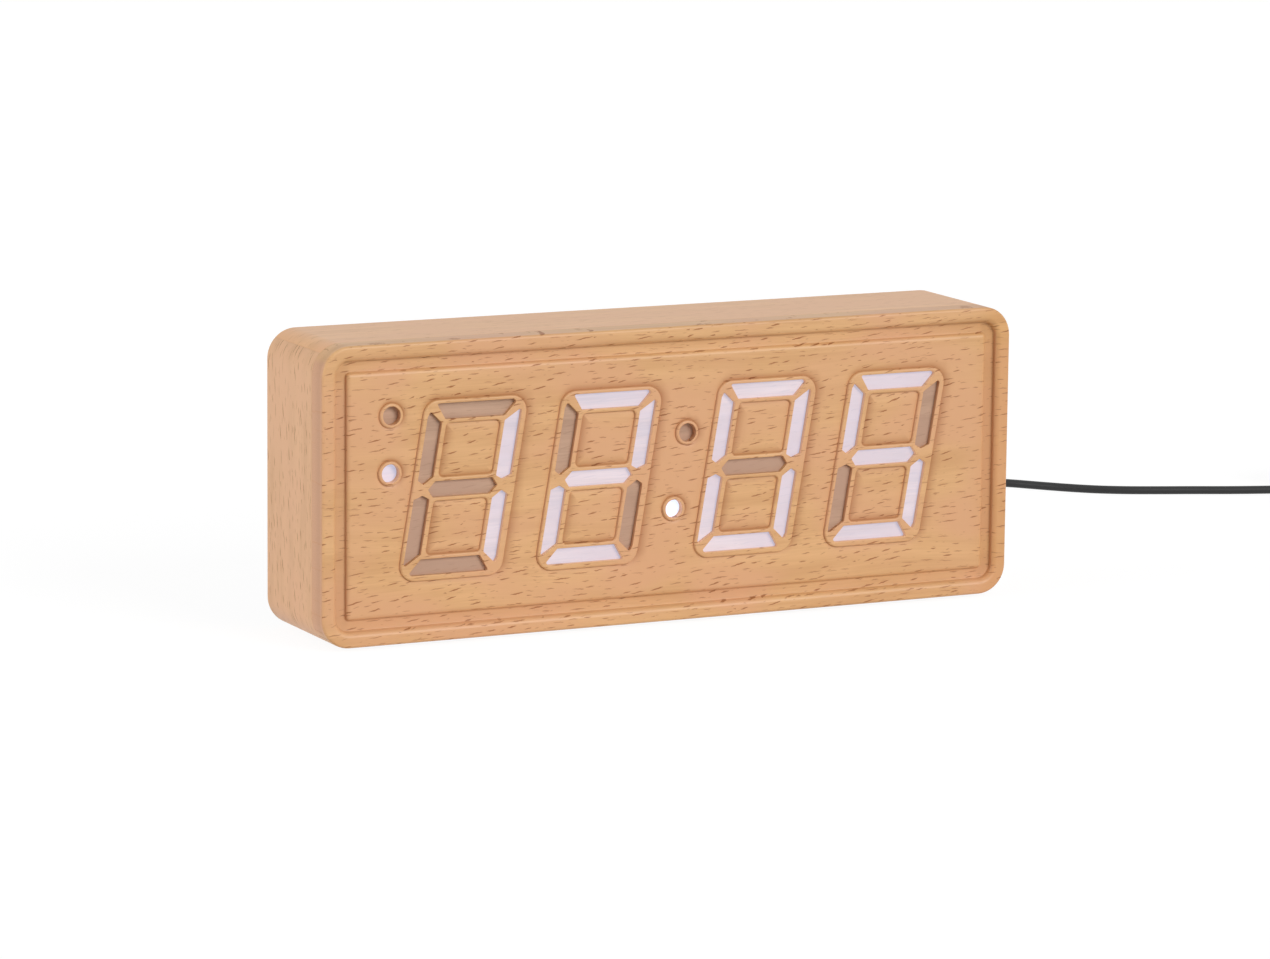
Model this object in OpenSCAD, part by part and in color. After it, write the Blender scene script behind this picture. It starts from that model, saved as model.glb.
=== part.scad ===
// Wooden alarm clock with a carved front board, slanted segment digits and a low-voltage cord.
// Millimetres. X runs to the right seen from the front, Y to the back, Z up from the feet.

/* [Case] */
// Width of the case from side to side
case_w = 205; // [203:1:260]
// Height of the case without its feet
case_h = 80; // [78:1:110]
// Depth from the carved front to the back edge
case_d = 38; // [37:1:60]
// Radius of the case's corners, seen from the front
corner_r = 8; // [6:0.5:12]
// Thickness of the four mitred boards
wall_t = 7.5; // [6:0.5:8.5]
// Width of the rebate that holds the rear cover
rebate_w = 3; // [2:0.5:4]
// Side of the square glue block in each corner
block_w = 10; // [9:0.5:14]
// Gap between the glue blocks and the display board
block_gap = 3.5; // [2.5:0.5:10]
// Height of the feet
foot_h = 1; // [0.5:0.5:6]
// Radius of the feet
foot_r = 4.5; // [3:0.5:6]
// Distance of the feet from the sides of the case
foot_inset = 22.5; // [15:0.5:60]

/* [Carved front] */
// Thickness of the front board
front_t = 7; // [6.5:0.5:9]
// Width of the flat border
border_w = 4; // [3:0.25:5]
// Width of the groove inside the border
groove_w = 3.35; // [2:0.05:4]
// Depth of the groove
groove_d = 2; // [1:0.25:3]
// Depth of the field below the border and the ridges
field_drop = 0.6; // [0.3:0.1:1]
// Width of the ridge outside the windows
ridge_out = 1.7; // [1:0.1:2.5]
// Width of the ridge inside the windows
ridge_in = 1.5; // [1:0.1:2]
// Radius of the corners outside a ridge
ridge_r = 3.5; // [1:0.5:5]
// Radius of the corners of the small panels inside a digit
panel_r = 0.8; // [0.4:0.1:2]
// Width of the ring round each dot
ring_w = 0.9; // [0.5:0.1:1.5]
// Radius of the corners of a window
window_r = 0.4; // [0.2:0.1:0.5]
// Depth of the windows, down to the veneer
window_d = 3; // [2.4:0.1:3.6]

/* [Digits] */
// Width of a digit before it is slanted
digit_w = 27.4; // [24:0.1:29]
// Distance of the digits from the top and the bottom of the case, before they are lifted
digit_margin = 17.25; // [16.5:0.25:21]
// Width of a segment
stroke = 4.3; // [3.8:0.1:4.8]
// Slant of the digits in degrees
slant = 9.5; // [0:0.5:12]
// Distance from the left edge of the field to the middle of the first digit
left_space = 32.75; // [32.25:0.25:36]
// Distance from the middle of the last digit to the right edge of the field
right_space = 31.55; // [28:0.05:34]
// Extra room between the second and the third digit, for the colon
colon_room = 6.9; // [6:0.1:9]
// Height of the digits' middle above the middle of the case
digit_lift = 0.7; // [0:0.1:1]
// Radius of a round dot
dot_r = 2.5; // [1.5:0.1:2.8]
// Distance of the two marker dots from the first digit's middle
marker_dx = 21; // [20.5:0.1:22]
// Distance of the upper marker dot below the top of the digits
marker_drop = 2.45; // [2:0.05:8]
// Distance between the two marker dots
marker_pitch = 15.3; // [9:0.1:20]
// Distance of the colon from the middle of the digits
colon_dx = 0.9; // [0:0.1:1.5]
// Half of the distance between the colon's dots, upwards
colon_rise = 10.4; // [7:0.1:14]
// Half of the distance between the colon's dots, sideways
colon_lean = 2.1; // [0:0.1:2.5]

/* [Display] */
// Thickness of the translucent veneer behind the windows
veneer_t = 0.4; // [0.3:0.1:0.8]
// Depth of the moulded light box
light_box_d = 8; // [6:0.5:9]
// Margin of the light box beside the outermost dots
box_margin_w = 2.6; // [2:0.1:3]
// Margin of the light box above and below the digits
box_margin_h = 5.25; // [4:0.25:6]
// Thickness of the light box's ears
ear_t = 2; // [1.5:0.5:3]
// Height of the light box's ears
ear_h = 8; // [6:0.5:12]
// Distance of the ears from the middle of the display
ear_rise = 16; // [12:1:20]
// Thickness of the circuit boards
board_t = 1.6; // [1:0.2:2]
// Length of a light-emitting diode
led_l = 3.5; // [2:0.1:3.5]
// Width of a light-emitting diode
led_w = 2.8; // [1.6:0.1:2.8]
// Height of a light-emitting diode
led_h = 1.9; // [0.8:0.1:2]
// Distance of a segment's two diodes from its ends
led_inset = 5.3; // [5.3:0.1:6]
// Height of the pin header on the display board
header_h = 2.5; // [2:0.5:3]
// Number of pins in each of the header's two rows
pin_count = 8; // [4:1:10]
// Distance between the pins
pin_pitch = 2.54; // [2:0.01:2.54]

/* [Main board] */
// Width of the main board
main_w = 108; // [106:1:112]
// Height of the main board
main_h = 44; // [43:1:48]
// Gap between the main board and the right wall of the case
main_gap = 17; // [14:0.5:18]
// Room between the main board and the rear cover
rear_room = 8.9; // [8.4:0.1:10]
// Side of the controller chip
chip_w = 12; // [8:0.5:16]
// Thickness of the chips
chip_h = 1.8; // [1.2:0.1:3]
// Length of a driver chip
driver_l = 15; // [10:0.5:18]
// Width of a driver chip
driver_w = 7.5; // [5:0.5:9]
// Radius of the buzzer
buzzer_r = 6; // [4.5:0.5:6.5]
// Height of the buzzer
buzzer_h = 6.5; // [4:0.5:7]
// Radius of the backup cell
cell_r = 10; // [8:0.1:10]
// Thickness of the backup cell
cell_h = 3.2; // [1.6:0.1:3.6]
// Wall of the cell holder
holder_wall = 1.8; // [1.2:0.1:2.2]

/* [Rear cover] */
// Thickness of the rear cover
cover_t = 2.5; // [2:0.25:3]
// Depth of the cover below the back edge of the case
cover_recess = 1; // [0.75:0.25:1.5]
// Clearance round parts that are only laid in
fit_gap = 0.3; // [0.1:0.05:0.5]
// Clearance of parts that slide or turn in each other
run_gap = 0.08; // [0.03:0.01:0.1]
// Radius of a push button
button_r = 4; // [3:0.25:5]
// Distance between the push buttons
button_pitch = 16; // [13:1:16]
// Travel of a push button
button_travel = 0.5; // [0.3:0.1:0.6]
// Travel of the alarm slider
slider_travel = 2; // [1:0.5:3]
// Width of the battery door's rim round its neck
door_rim = 1.55; // [1.4:0.05:2]
// Turn of the battery door from locked to open, in degrees
door_turn = 40; // [35:1:60]

/* [Power] */
// Distance of the power jack from the right edge of the main board
jack_inset = 10.5; // [10:0.5:14]
// Height of the power jack above the bottom edge of the main board
jack_rise = 10; // [9.5:0.5:13]
// Radius of the hole in the jack
jack_bore_r = 1.82; // [1.5:0.01:2.2]
// Radius of the jack's centre pin
jack_pin_r = 0.65; // [0.4:0.05:0.8]
// Depth of the hole in the jack
jack_bore_l = 9.5; // [8:0.5:10]
// Length of the plug's grip
plug_l = 22; // [14:1:30]
// Radius of the plug's grip
plug_r = 4.5; // [3:0.25:4.5]
// Length of the strain relief
relief_l = 12; // [8:1:20]
// Diameter of the cord
cord_d = 2.2; // [2:0.1:2.6]

/* [Hidden] */

// Overrun of every cut, and the facets of round parts
over = 1;
round_fn = 48;
small_fn = 24;

// Faces from front to back
front_y = -case_d / 2;
back_y = case_d / 2;
case_y = front_y + front_t;
veneer_y = front_y + window_d;
light_box_y = veneer_y + veneer_t;
display_y = light_box_y + light_box_d;
display_back = display_y + board_t;
cover_out = back_y - cover_recess;
cover_in = cover_out - cover_t;
main_back = cover_in - rear_room;
main_y = main_back - board_t;

// Heights and widths of the case
mid_z = foot_h + case_h / 2;
digit_h = case_h - 2 * digit_margin;
digit_z = mid_z + digit_lift;
inner_w = case_w - 2 * wall_t;
inner_h = case_h - 2 * wall_t;
groove_in = border_w + groove_w;
groove_corner_r = 1;
// Distance of the feet's middles from the middle of the depth
foot_share = 0.18;
foot_y = foot_share * case_d;

// Windows of a digit. A corner is [side, strokes from it, height, strokes from it],
// where the side and the height are shares of the digit's width and height.
top_shares = [[0, 0.56, 1, 0], [1, -0.66, 1, 0], [1, -0.46, 1, -0.17], [1, -1.1, 1, -1],
    [0, 1.3, 1, -1]];
upper_left_shares = [[0, 0.22, 1, -0.47], [0, 1.09, 1, -1.2], [0, 1.09, 0.5, 0.78],
    [0, 0.5, 0.5, 0.32], [0, 0.08, 0.5, 0.6], [0, 0.08, 1, -0.8]];
upper_right_shares = [[1, -0.1, 1, -0.62], [1, 0, 1, -0.77], [1, 0, 0.5, 0.57],
    [1, -0.55, 0.5, 0.34], [1, -1.05, 0.5, 0.6], [1, -1.05, 1, -1.3]];
middle_shares = [[0, 0.86, 0.5, 0], [0, 1.26, 0.5, 0.5], [1, -1.26, 0.5, 0.5],
    [1, -0.86, 0.5, 0], [1, -1.26, 0.5, -0.5], [0, 1.26, 0.5, -0.5]];
// The small panel inside the upper half, before the ridge is taken off
panel_shares = [[0, 1.09, 0.5, 0.5], [1, -1.05, 0.5, 0.5], [1, -1.05, 1, -1], [0, 1.09, 1, -1]];
// Middles of the segments: three lying ones, then four standing ones
lying_shares = [[0.5, 0, 1, -0.5], [0.5, 0, 0.5, 0], [0.5, 0, 0, 0.5]];
standing_shares = [[0, 0.58, 0.75, 0], [1, -0.52, 0.75, 0], [0, 0.52, 0.25, 0], [1, -0.58, 0.25, 0]];
corner_steps = 3;
// Half of the distance between the two diodes of a lying and of a standing segment
lying_spread = digit_w / 2 - stroke - led_inset;
standing_spread = (digit_h / 2 - stroke) / 2 - led_inset;

function outline(shares) =
    [for (c = shares) [c[0] * digit_w + c[1] * stroke, c[2] * digit_h + c[3] * stroke]];
function turned(points) = [for (p = points) [digit_w - p.x, digit_h - p.y]];
function leaned(points) = [for (p = points)
    [p.x - digit_w / 2 + (p.y - digit_h / 2) * tan(slant), p.y - digit_h / 2]];
upper_windows = [outline(top_shares), outline(upper_left_shares), outline(upper_right_shares)];
windows = [each upper_windows, outline(middle_shares), for (w = upper_windows) turned(w)];
ridge_box = [[-ridge_out, -ridge_out], [digit_w + ridge_out, -ridge_out],
    [digit_w + ridge_out, digit_h + ridge_out], [-ridge_out, digit_h + ridge_out]];
panel_box = outline(panel_shares);
upper_panel = [panel_box[0] + [ridge_in, ridge_in], panel_box[1] + [-ridge_in, ridge_in],
    panel_box[2] - [ridge_in, ridge_in], panel_box[3] + [ridge_in, -ridge_in]];

// Places of the digits and the round dots, seen from the front
first_x = -case_w / 2 + groove_in + left_space;
last_x = case_w / 2 - groove_in - right_space;
digit_pitch = (last_x - first_x - colon_room) / 3;
digit_shift = (first_x + last_x) / 2;
digit_xs = [first_x, first_x + digit_pitch, last_x - digit_pitch, last_x];
marker_x = first_x - marker_dx;
marker_high = digit_h / 2 - marker_drop;
marker_low = marker_high - marker_pitch;
colon_x = digit_shift + colon_dx;
dots = [[marker_x, digit_z + marker_high], [marker_x, digit_z + marker_low],
    [colon_x + colon_lean, digit_z + colon_rise], [colon_x - colon_lean, digit_z - colon_rise]];

// Light box and display board
light_box_w = 2 * (dot_r - marker_x + box_margin_w);
light_box_h = digit_h + 2 * box_margin_h;
ear_w = (inner_w - light_box_w) / 2 - fit_gap;
ear_x = light_box_w / 2 + ear_w / 2;
wood_screw_r = 1.2;
wood_screw_head_r = 2.3;
wood_screw_head_h = 1.4;
wood_screw_bite = 3;
peg_r = 1.2;
peg_proud = 0.8;
peg_inset = 3;

// Header, chips and crystal between the boards
main_x = inner_w / 2 - main_gap - main_w / 2;
main_left = main_x - main_w / 2;
main_right = main_x + main_w / 2;
header_x = main_x;
header_drop = 15;
header_margin = 0.6;
socket_h = main_y - display_back - header_h;
pin_w = 0.64;
pin_tip_gap = 1.55;
pin_l = header_h / 2 + socket_h - pin_tip_gap;
pin_hole_w = 0.9;
chip_dx = -24;
chip_x = main_x + chip_dx;
lead_pitch = 1.27;
lead_w = 0.4;
lead_t = 0.2;
lead_out = 0.8;
lead_margin = 1.5;
driver_dx = 45;
driver_standoff = 0.3;
crystal_r = 1.5;
crystal_l = 8;
crystal_dx = 12;

// Rear side of the main board
button_share = 7 / 27;
button_x = main_left + button_share * main_w;
button_dz = 6;
switch_w = 6;
switch_h = 3.5;
switch_floor = 0.8;
stem_r = 1.75;
stem_out = 1;
stem_rest = 0.2;
stem_top = main_back + switch_h + stem_out;
flange_w = 1.2;
flange_t = 0.8;
flange_gap = 0.2;
button_proud = 0.5;
button_edge = 0.3;
alarm_share = 1 / 3;
alarm_x = main_left + alarm_share * main_w;
alarm_dz = -12;
alarm_w = 9;
alarm_depth = 4.2;
lever_w = 2;
lever_t = 1.6;
lever_in = 1.8;
lever_out = 2;
slider_wall = 1;
slider_socket = 1.5;
slider_gap = 0.15;
slider_pad_t = 0.7;
slider_pad_over = 1.2;
slider_ribs = 3;
slider_rib_w = 0.5;
slider_rib_d = 0.3;
cell_share = 37 / 54;
cell_x = main_left + cell_share * main_w;
cell_dz = 5;
holder_floor = 1;
contact_t = 0.2;
contact_w = 5;
clip_lip = 1.2;
buzzer_inset = 10;
buzzer_drop = 13;
buzzer_x = main_right - buzzer_inset;
buzzer_z = mid_z + main_h / 2 - buzzer_drop;
buzzer_hole_r = 1;
sound_hole_r = 0.8;
sound_ring_r = 3.2;
sound_holes = 6;
board_screw_inset = 4;
boss_r = 3.2;
machine_screw_r = 1.2;
machine_screw_head_r = 2.2;
machine_screw_head_h = 1.5;
machine_screw_l = 9;
screw_gap = 0.05;

// Rear cover, its screws and the battery door
cover_w = inner_w + 2 * rebate_w - 2 * fit_gap;
cover_h = inner_h + 2 * rebate_w - 2 * fit_gap;
cover_corner_r = 1.5;
cover_screw_r = 1.45;
cover_screw_head_r = 2.8;
cover_screw_head_h = 1.4;
cover_screw_l = 14;
recess_w = 0.7;
recess_l = 3;
recess_d = 0.8;
block_l = cover_in - display_back - block_gap;
block_x = inner_w / 2 - block_w / 2;
block_z = inner_h / 2 - block_w / 2;
door_step = 1.2;
door_seat = 0.1;
door_neck_wall = 0.85;
door_neck_r = cell_r + door_neck_wall;
door_r = door_neck_r + door_rim;
lug_t = 0.8;
lug_gap = 0.2;
lug_out = 1.3;
lug_angle = 30;
notch_margin = 4;
slot_l = 13;
slot_w = 1.8;
slot_d = 0.6;

// Jack and plug
jack_w = 7;
jack_neck_r = 3.4;
jack_x = main_right - jack_inset;
jack_z = mid_z - main_h / 2 + jack_rise;
jack_pin_set = 1;
barrel_bore_r = 0.75;
barrel_l = 9;
grip_end_r = 3;
grip_ribs = 5;
grip_rib_w = 1.2;
grip_rib_d = 0.4;
relief_r = 2.4;
relief_end_r = 1.5;
relief_ribs = 5;
relief_slot = 0.9;

// Route of the cord from the strain relief along the table to the coil
cord_route = [[67.5, 52, 29], [67.5, 57, 29], [67.5, 62, 28.6], [67.7, 68, 27.2], [68.3, 74, 24.8],
    [69.4, 80, 21.4], [71, 86, 17.4], [73.2, 92, 13], [76.2, 98, 8.8], [80, 104, 5.4],
    [84.6, 110, 3], [90, 116, 1.7], [96, 122, 1.2], [103, 128, 1.2], [111, 134, 1.2],
    [120, 140, 1.2], [130, 145, 1.2], [141, 148.5, 1.2], [152, 149.5, 1.2], [163, 148, 1.2],
    [173, 144, 1.2], [182, 138.5, 1.2], [190.5, 131, 1.2], [197, 123.6, 1.2], [203, 117, 1.2],
    [209.5, 111.2, 1.2], [217, 106.6, 1.2], [226, 102.6, 1.2], [236, 98.6, 1.2], [246, 94.4, 1.2],
    [256, 90.2, 1.3], [265, 86.4, 1.5], [272, 83.4, 1.65], [279, 80.4, 1.7]];
cord_sides = 8;

// Coil of the length that is put away: turns in four layers, out and in and out and in
coil_turns = 11.23;
coil_layers = 4;
coil_gap = 0.5;
coil_pitch = cord_d + coil_gap;
coil_mean_r = 12.5;
coil_steps = 24;
coil_sides = 6;
layer_turns = coil_turns / coil_layers;
coil_r = coil_mean_r + layer_turns * coil_pitch / 2;
cord_end = cord_route[len(cord_route) - 1];
coil_dir = unit(cord_end - cord_route[len(cord_route) - 2]);
coil_heading = atan2(coil_dir.y, coil_dir.x);
coil_start = cord_end + cord_d * [cos(coil_heading), sin(coil_heading), 0];
coil_middle = coil_start + coil_r * [-sin(coil_heading), cos(coil_heading), 0];
tie_t = 0.5;
tie_w = 4;
tie_gap = 0.3;
tie_turn = 150;

// The cord's short tail from the coil to the far plug, along, across and up from the coil's end
tail_route = [[0, 0, 0], [3, 0, 0], [6, 0, -0.6], [9, 0, -1.8], [12, 0, -3.4], [15, 0, -4.8],
    [18, 0, -5.6], [21, 0, -5.8], [24, 0, -5.8]];

// Far plug
usb_grip_l = 26;
usb_grip_w = 15;
usb_grip_h = 8;
usb_grip_r = 1.5;
usb_neck_l = 6;
usb_neck_r = 2;
usb_shell_l = 12;
usb_shell_w = 12;
usb_shell_h = 4.5;
usb_shell_t = 0.3;
usb_tongue_w = 10.4;
usb_tongue_h = 1.9;
usb_tongue_l = 10.5;

// Geometry helpers

function unit(v) = v / norm(v);

// The arc that rounds the corner at b, between its neighbours a and c
function corner_arc(a, b, c, r) =
    let (p = unit(a - b), q = unit(c - b), half = acos(p * q) / 2)
    let (middle = b + unit(p + q) * r / sin(half), start = b + p * r / tan(half) - middle)
    let (end = b + q * r / tan(half) - middle)
    [for (i = [0:corner_steps]) middle + r * unit(start * (corner_steps - i) + end * i)];

function rounded(points, r) =
    let (n = len(points))
    [for (i = [0:n - 1]) each corner_arc(points[(i + n - 1) % n], points[i], points[(i + 1) % n], r)];

// Points on a smooth curve through a route, with steps points for each stretch
function smooth_route(p, steps) =
    let (n = len(p))
    [for (i = [0:n - 2]) let (a = p[max(i - 1, 0)], b = p[i], c = p[i + 1], d = p[min(i + 2, n - 1)])
        for (j = [0:i == n - 2 ? steps : steps - 1]) let (t = j / steps)
            (2 * b + (c - a) * t + (2 * a - 5 * b + 4 * c - d) * t * t
                + (3 * b - a - 3 * c + d) * t * t * t) / 2];

// Direction of a path at one of its points
function heading(path, i) = unit(path[min(i + 1, len(path) - 1)] - path[max(i - 1, 0)]);

// One closed tube along a path, as rings of points joined by triangles
module tube(path, r, sides) {
    n = len(path);
    ring = [for (i = [0:n - 1])
        let (ahead = heading(path, i), across = unit(cross(ahead, [0, 0, 1])), up = cross(across, ahead))
        for (j = [0:sides - 1]) path[i] + r * (cos(360 * j / sides) * across + sin(360 * j / sides) * up)];
    wall = [for (i = [0:n - 2], j = [0:sides - 1])
        let (a = i * sides + j, b = i * sides + (j + 1) % sides)
        each [[a, b, b + sides], [a, b + sides, a + sides]]];
    ends = [for (j = [1:sides - 2])
        each [[0, j + 1, j], [(n - 1) * sides, (n - 1) * sides + j, (n - 1) * sides + j + 1]]];
    polyhedron(points = ring, faces = concat(wall, ends));
}

// A drawing seen from the front, made t thick from y towards the back
module facing(y, t) {
    translate([0, y + t, 0]) rotate([90, 0, 0]) linear_extrude(t) children();
}

// A round bar along Y
module bar(x, y, z, r, l, fn = round_fn) {
    translate([x, y + l, z]) rotate([90, 0, 0]) cylinder(h = l, r = r, $fn = fn);
}

// A cone along Y, from r1 at y to r2 at y + l
module taper(x, y, z, r1, r2, l) {
    translate([x, y + l, z]) rotate([90, 0, 0]) cylinder(h = l, r1 = r2, r2 = r1, $fn = round_fn);
}

// A block centred on x and z that starts at y
module block(x, y, z, w, l, h) {
    translate([x - w / 2, y, z - h / 2]) cube([w, l, h]);
}

module rounded_rect(w, h, r) {
    square([w - 2 * r, h], center = true);
    square([w, h - 2 * r], center = true);
    for (sx = [-1, 1], sz = [-1, 1])
        translate([sx * (w / 2 - r), sz * (h / 2 - r)]) circle(r = r, $fn = round_fn);
}

// Case

module case_outline(inset, r) {
    translate([0, mid_z]) rounded_rect(case_w - 2 * inset, case_h - 2 * inset, r);
}

// One board of the case, cut out of the ring by its mitre
module case_board(mitre) {
    difference() {
        facing(case_y, case_d - front_t) intersection() {
            case_outline(0, corner_r);
            translate([0, mid_z]) polygon(mitre);
        }
        facing(case_y - over, case_d) translate([0, mid_z]) square([inner_w, inner_h], center = true);
        facing(cover_in, case_d) translate([0, mid_z])
            square([inner_w + 2 * rebate_w, inner_h + 2 * rebate_w], center = true);
    }
}

module long_board(side) {
    color("burlywood") case_board([[-case_w / 2, side * case_h / 2], [case_w / 2, side * case_h / 2],
        [(case_w - case_h) / 2, 0], [(case_h - case_w) / 2, 0]]);
}

module short_board(side) {
    color("tan") case_board([[side * case_w / 2, case_h / 2], [side * case_w / 2, -case_h / 2],
        [side * (case_w - case_h) / 2, 0]]);
}

module corner_block(sx, sz) {
    color("wheat") difference() {
        block(sx * block_x, cover_in - block_l, mid_z + sz * block_z, block_w, block_l, block_w);
        bar(sx * block_x, cover_out - cover_screw_l - over, mid_z + sz * block_z,
            cover_screw_r + screw_gap, cover_screw_l, small_fn);
    }
}

module foot(sx, sy) {
    color("dimgray") translate([sx * (case_w / 2 - foot_inset), sy * foot_y, 0])
        cylinder(h = foot_h, r = foot_r, $fn = round_fn);
}

// Carved front

module at_digits() {
    for (x = digit_xs) translate([x, digit_z]) children();
}

module windows_drawing(r) {
    at_digits() for (w = windows) polygon(rounded(leaned(w), r));
    for (d = dots) translate(d) circle(r = dot_r, $fn = round_fn);
}

module ridges_drawing() {
    at_digits() difference() {
        polygon(rounded(leaned(ridge_box), ridge_r));
        polygon(rounded(leaned(upper_panel), panel_r));
        polygon(rounded(leaned(turned(upper_panel)), panel_r));
    }
    for (d = dots) translate(d) circle(r = dot_r + ring_w, $fn = round_fn);
}

module front_board() {
    color("burlywood") difference() {
        facing(front_y, front_t) case_outline(0, corner_r);
        facing(front_y - over, over + groove_d) difference() {
            case_outline(border_w, corner_r - border_w);
            case_outline(groove_in, groove_corner_r);
        }
        facing(front_y - over, over + field_drop) difference() {
            case_outline(groove_in, groove_corner_r);
            ridges_drawing();
        }
        facing(front_y - over, over + front_t) windows_drawing(window_r);
        facing(veneer_y, front_t) translate([0, digit_z])
            square([light_box_w + 2 * fit_gap, light_box_h + 2 * fit_gap], center = true);
        at_ears() bar(0, case_y - wood_screw_bite - over, 0, wood_screw_r + screw_gap,
            wood_screw_bite + 2 * over, small_fn);
    }
}

// Display

module at_ears() {
    for (sx = [-1, 1], sz = [-1, 1])
        translate([sx * ear_x, 0, digit_z + sz * ear_rise]) children();
}

module at_pegs() {
    for (sx = [-1, 0, 1], sz = [-1, 1])
        translate([sx * (light_box_w / 2 - peg_inset), 0, digit_z + sz * (light_box_h / 2 - peg_inset)])
            children();
}

module window_veneer() {
    color("peachpuff") facing(veneer_y, veneer_t) translate([0, digit_z])
        square([light_box_w, light_box_h], center = true);
}

module light_box() {
    color("white") difference() {
        union() {
            facing(light_box_y, light_box_d) translate([0, digit_z])
                square([light_box_w, light_box_h], center = true);
            at_ears() block(0, case_y, 0, ear_w, ear_t, ear_h);
            at_pegs() bar(0, display_y - over, 0, peg_r, board_t + peg_proud + over, small_fn);
        }
        facing(light_box_y - over, light_box_d + 2 * over) windows_drawing(window_r);
        at_ears() bar(0, case_y - over, 0, wood_screw_r + fit_gap, ear_t + 2 * over, small_fn);
    }
}

module light_box_screws() {
    color("silver") at_ears() {
        bar(0, case_y - wood_screw_bite, 0, wood_screw_r, wood_screw_bite + ear_t, small_fn);
        difference() {
            bar(0, case_y + ear_t, 0, wood_screw_head_r, wood_screw_head_h, small_fn);
            cross_recess(case_y + ear_t + wood_screw_head_h);
        }
    }
}

// The cross cut into a screw's head, whose face is at y
module cross_recess(y) {
    for (turn = [0, 90]) rotate([0, turn, 0]) block(0, y - recess_d, 0, recess_w, recess_d + over, recess_l);
}

module display_board() {
    color("darkgreen") difference() {
        facing(display_y, board_t) translate([0, digit_z])
            square([light_box_w, light_box_h], center = true);
        at_pegs() bar(0, display_y - over, 0, peg_r + run_gap, board_t + 2 * over, small_fn);
    }
}

module led(x, z, w, h) {
    block(x, display_y - led_h, z, w, led_h, h);
}

module segment_leds() {
    color("lightyellow") {
        for (x = digit_xs, side = [-1, 1]) {
            for (p = leaned([for (q = outline(lying_shares)) q + [side * lying_spread, 0]]))
                led(x + p.x, digit_z + p.y, led_l, led_w);
            for (p = leaned([for (q = outline(standing_shares)) q + [0, side * standing_spread]]))
                led(x + p.x, digit_z + p.y, led_w, led_l);
        }
        for (d = dots) led(d.x, d.y, led_w, led_w);
    }
}

module at_pins() {
    for (i = [0:pin_count - 1], side = [-1, 1])
        translate([header_x + (i - (pin_count - 1) / 2) * pin_pitch, 0,
            mid_z - header_drop + side * pin_pitch / 2]) children();
}

module header_body(y, h) {
    block(header_x, y, mid_z - header_drop, pin_count * pin_pitch + header_margin, h,
        2 * pin_pitch + header_margin);
}

module pin_header() {
    color("black") header_body(display_back, header_h);
    color("gold") at_pins() block(0, display_back + header_h / 2, 0, pin_w, pin_l, pin_w);
}

module pin_socket() {
    color("black") difference() {
        header_body(main_y - socket_h, socket_h);
        at_pins() block(0, main_y - socket_h - over, 0, pin_hole_w, socket_h, pin_hole_w);
    }
}

// A flat chip whose legs stand on the face at y; way is 1 where it faces the back
module chip(x, y, z, w, h, sides, way) {
    t = chip_h;
    color("black") block(x, way > 0 ? y + driver_standoff : y - driver_standoff - t, z, w, t, h);
    legs = floor((w - 2 * lead_margin) / lead_pitch);
    for (turn = sides, i = [0:legs]) {
        reach = (turn % 180 == 0 ? h : w) / 2;
        color("silver") translate([x, 0, z]) rotate([0, turn, 0]) translate([0, 0, reach + lead_out / 2]) {
            block((i - legs / 2) * lead_pitch, way > 0 ? y : y - lead_t, 0, lead_w, lead_t, lead_out);
            block((i - legs / 2) * lead_pitch, way > 0 ? y : y - driver_standoff - t / 2,
                -lead_out / 2 + lead_t / 2, lead_w, driver_standoff + t / 2, lead_t);
        }
    }
}

module controller_chip() {
    chip(chip_x, main_y, mid_z, chip_w, chip_w, [0, 90, 180, 270], -1);
}

module driver_chips() {
    for (side = [-1, 1]) chip(side * driver_dx, display_back, digit_z, driver_l, driver_w, [0, 180], 1);
}

module crystal() {
    color("silver") translate([chip_x - crystal_dx, main_y - crystal_r, mid_z - crystal_l / 2])
        cylinder(h = crystal_l, r = crystal_r, $fn = small_fn);
}

// Main board and what it carries

module at_board_screws() {
    for (sx = [-1, 1], sz = [-1, 1])
        translate([main_x + sx * (main_w / 2 - board_screw_inset), 0,
            mid_z + sz * (main_h / 2 - board_screw_inset)]) children();
}

module main_board() {
    color("darkgreen") difference() {
        facing(main_y, board_t) translate([main_x, mid_z]) square([main_w, main_h], center = true);
        at_board_screws() bar(0, main_y - over, 0, machine_screw_r + fit_gap, board_t + 2 * over, small_fn);
    }
}

module board_screws() {
    color("silver") at_board_screws() {
        bar(0, main_y, 0, machine_screw_r, machine_screw_l, small_fn);
        difference() {
            bar(0, main_y - machine_screw_head_h, 0, machine_screw_head_r, machine_screw_head_h, small_fn);
            rotate([180, 0, 0]) cross_recess(machine_screw_head_h - main_y);
        }
    }
}

module buzzer() {
    color("black") difference() {
        bar(buzzer_x, main_back, buzzer_z, buzzer_r, buzzer_h);
        bar(buzzer_x, main_back + buzzer_h / 2, buzzer_z, buzzer_hole_r, buzzer_h, small_fn);
    }
}

module dc_jack() {
    color("black") difference() {
        union() {
            block(jack_x, main_back, jack_z, jack_w, cover_in - main_back, jack_w);
            bar(jack_x, cover_in - over, jack_z, jack_neck_r, cover_t + over);
        }
        bar(jack_x, cover_out - jack_bore_l, jack_z, jack_bore_r, jack_bore_l + over);
    }
}

module jack_pin() {
    color("silver") bar(jack_x, cover_out - jack_bore_l, jack_z, jack_pin_r,
        jack_bore_l - jack_pin_set, small_fn);
}

// The three push buttons, counted from the left seen from the front
module tact_switch(i) {
    x = button_x + (i - 1) * button_pitch;
    color("dimgray") difference() {
        block(x, main_back, mid_z + button_dz, switch_w, switch_h, switch_w);
        bar(x, main_back + switch_floor, mid_z + button_dz, stem_r + run_gap, switch_h);
    }
}

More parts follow.
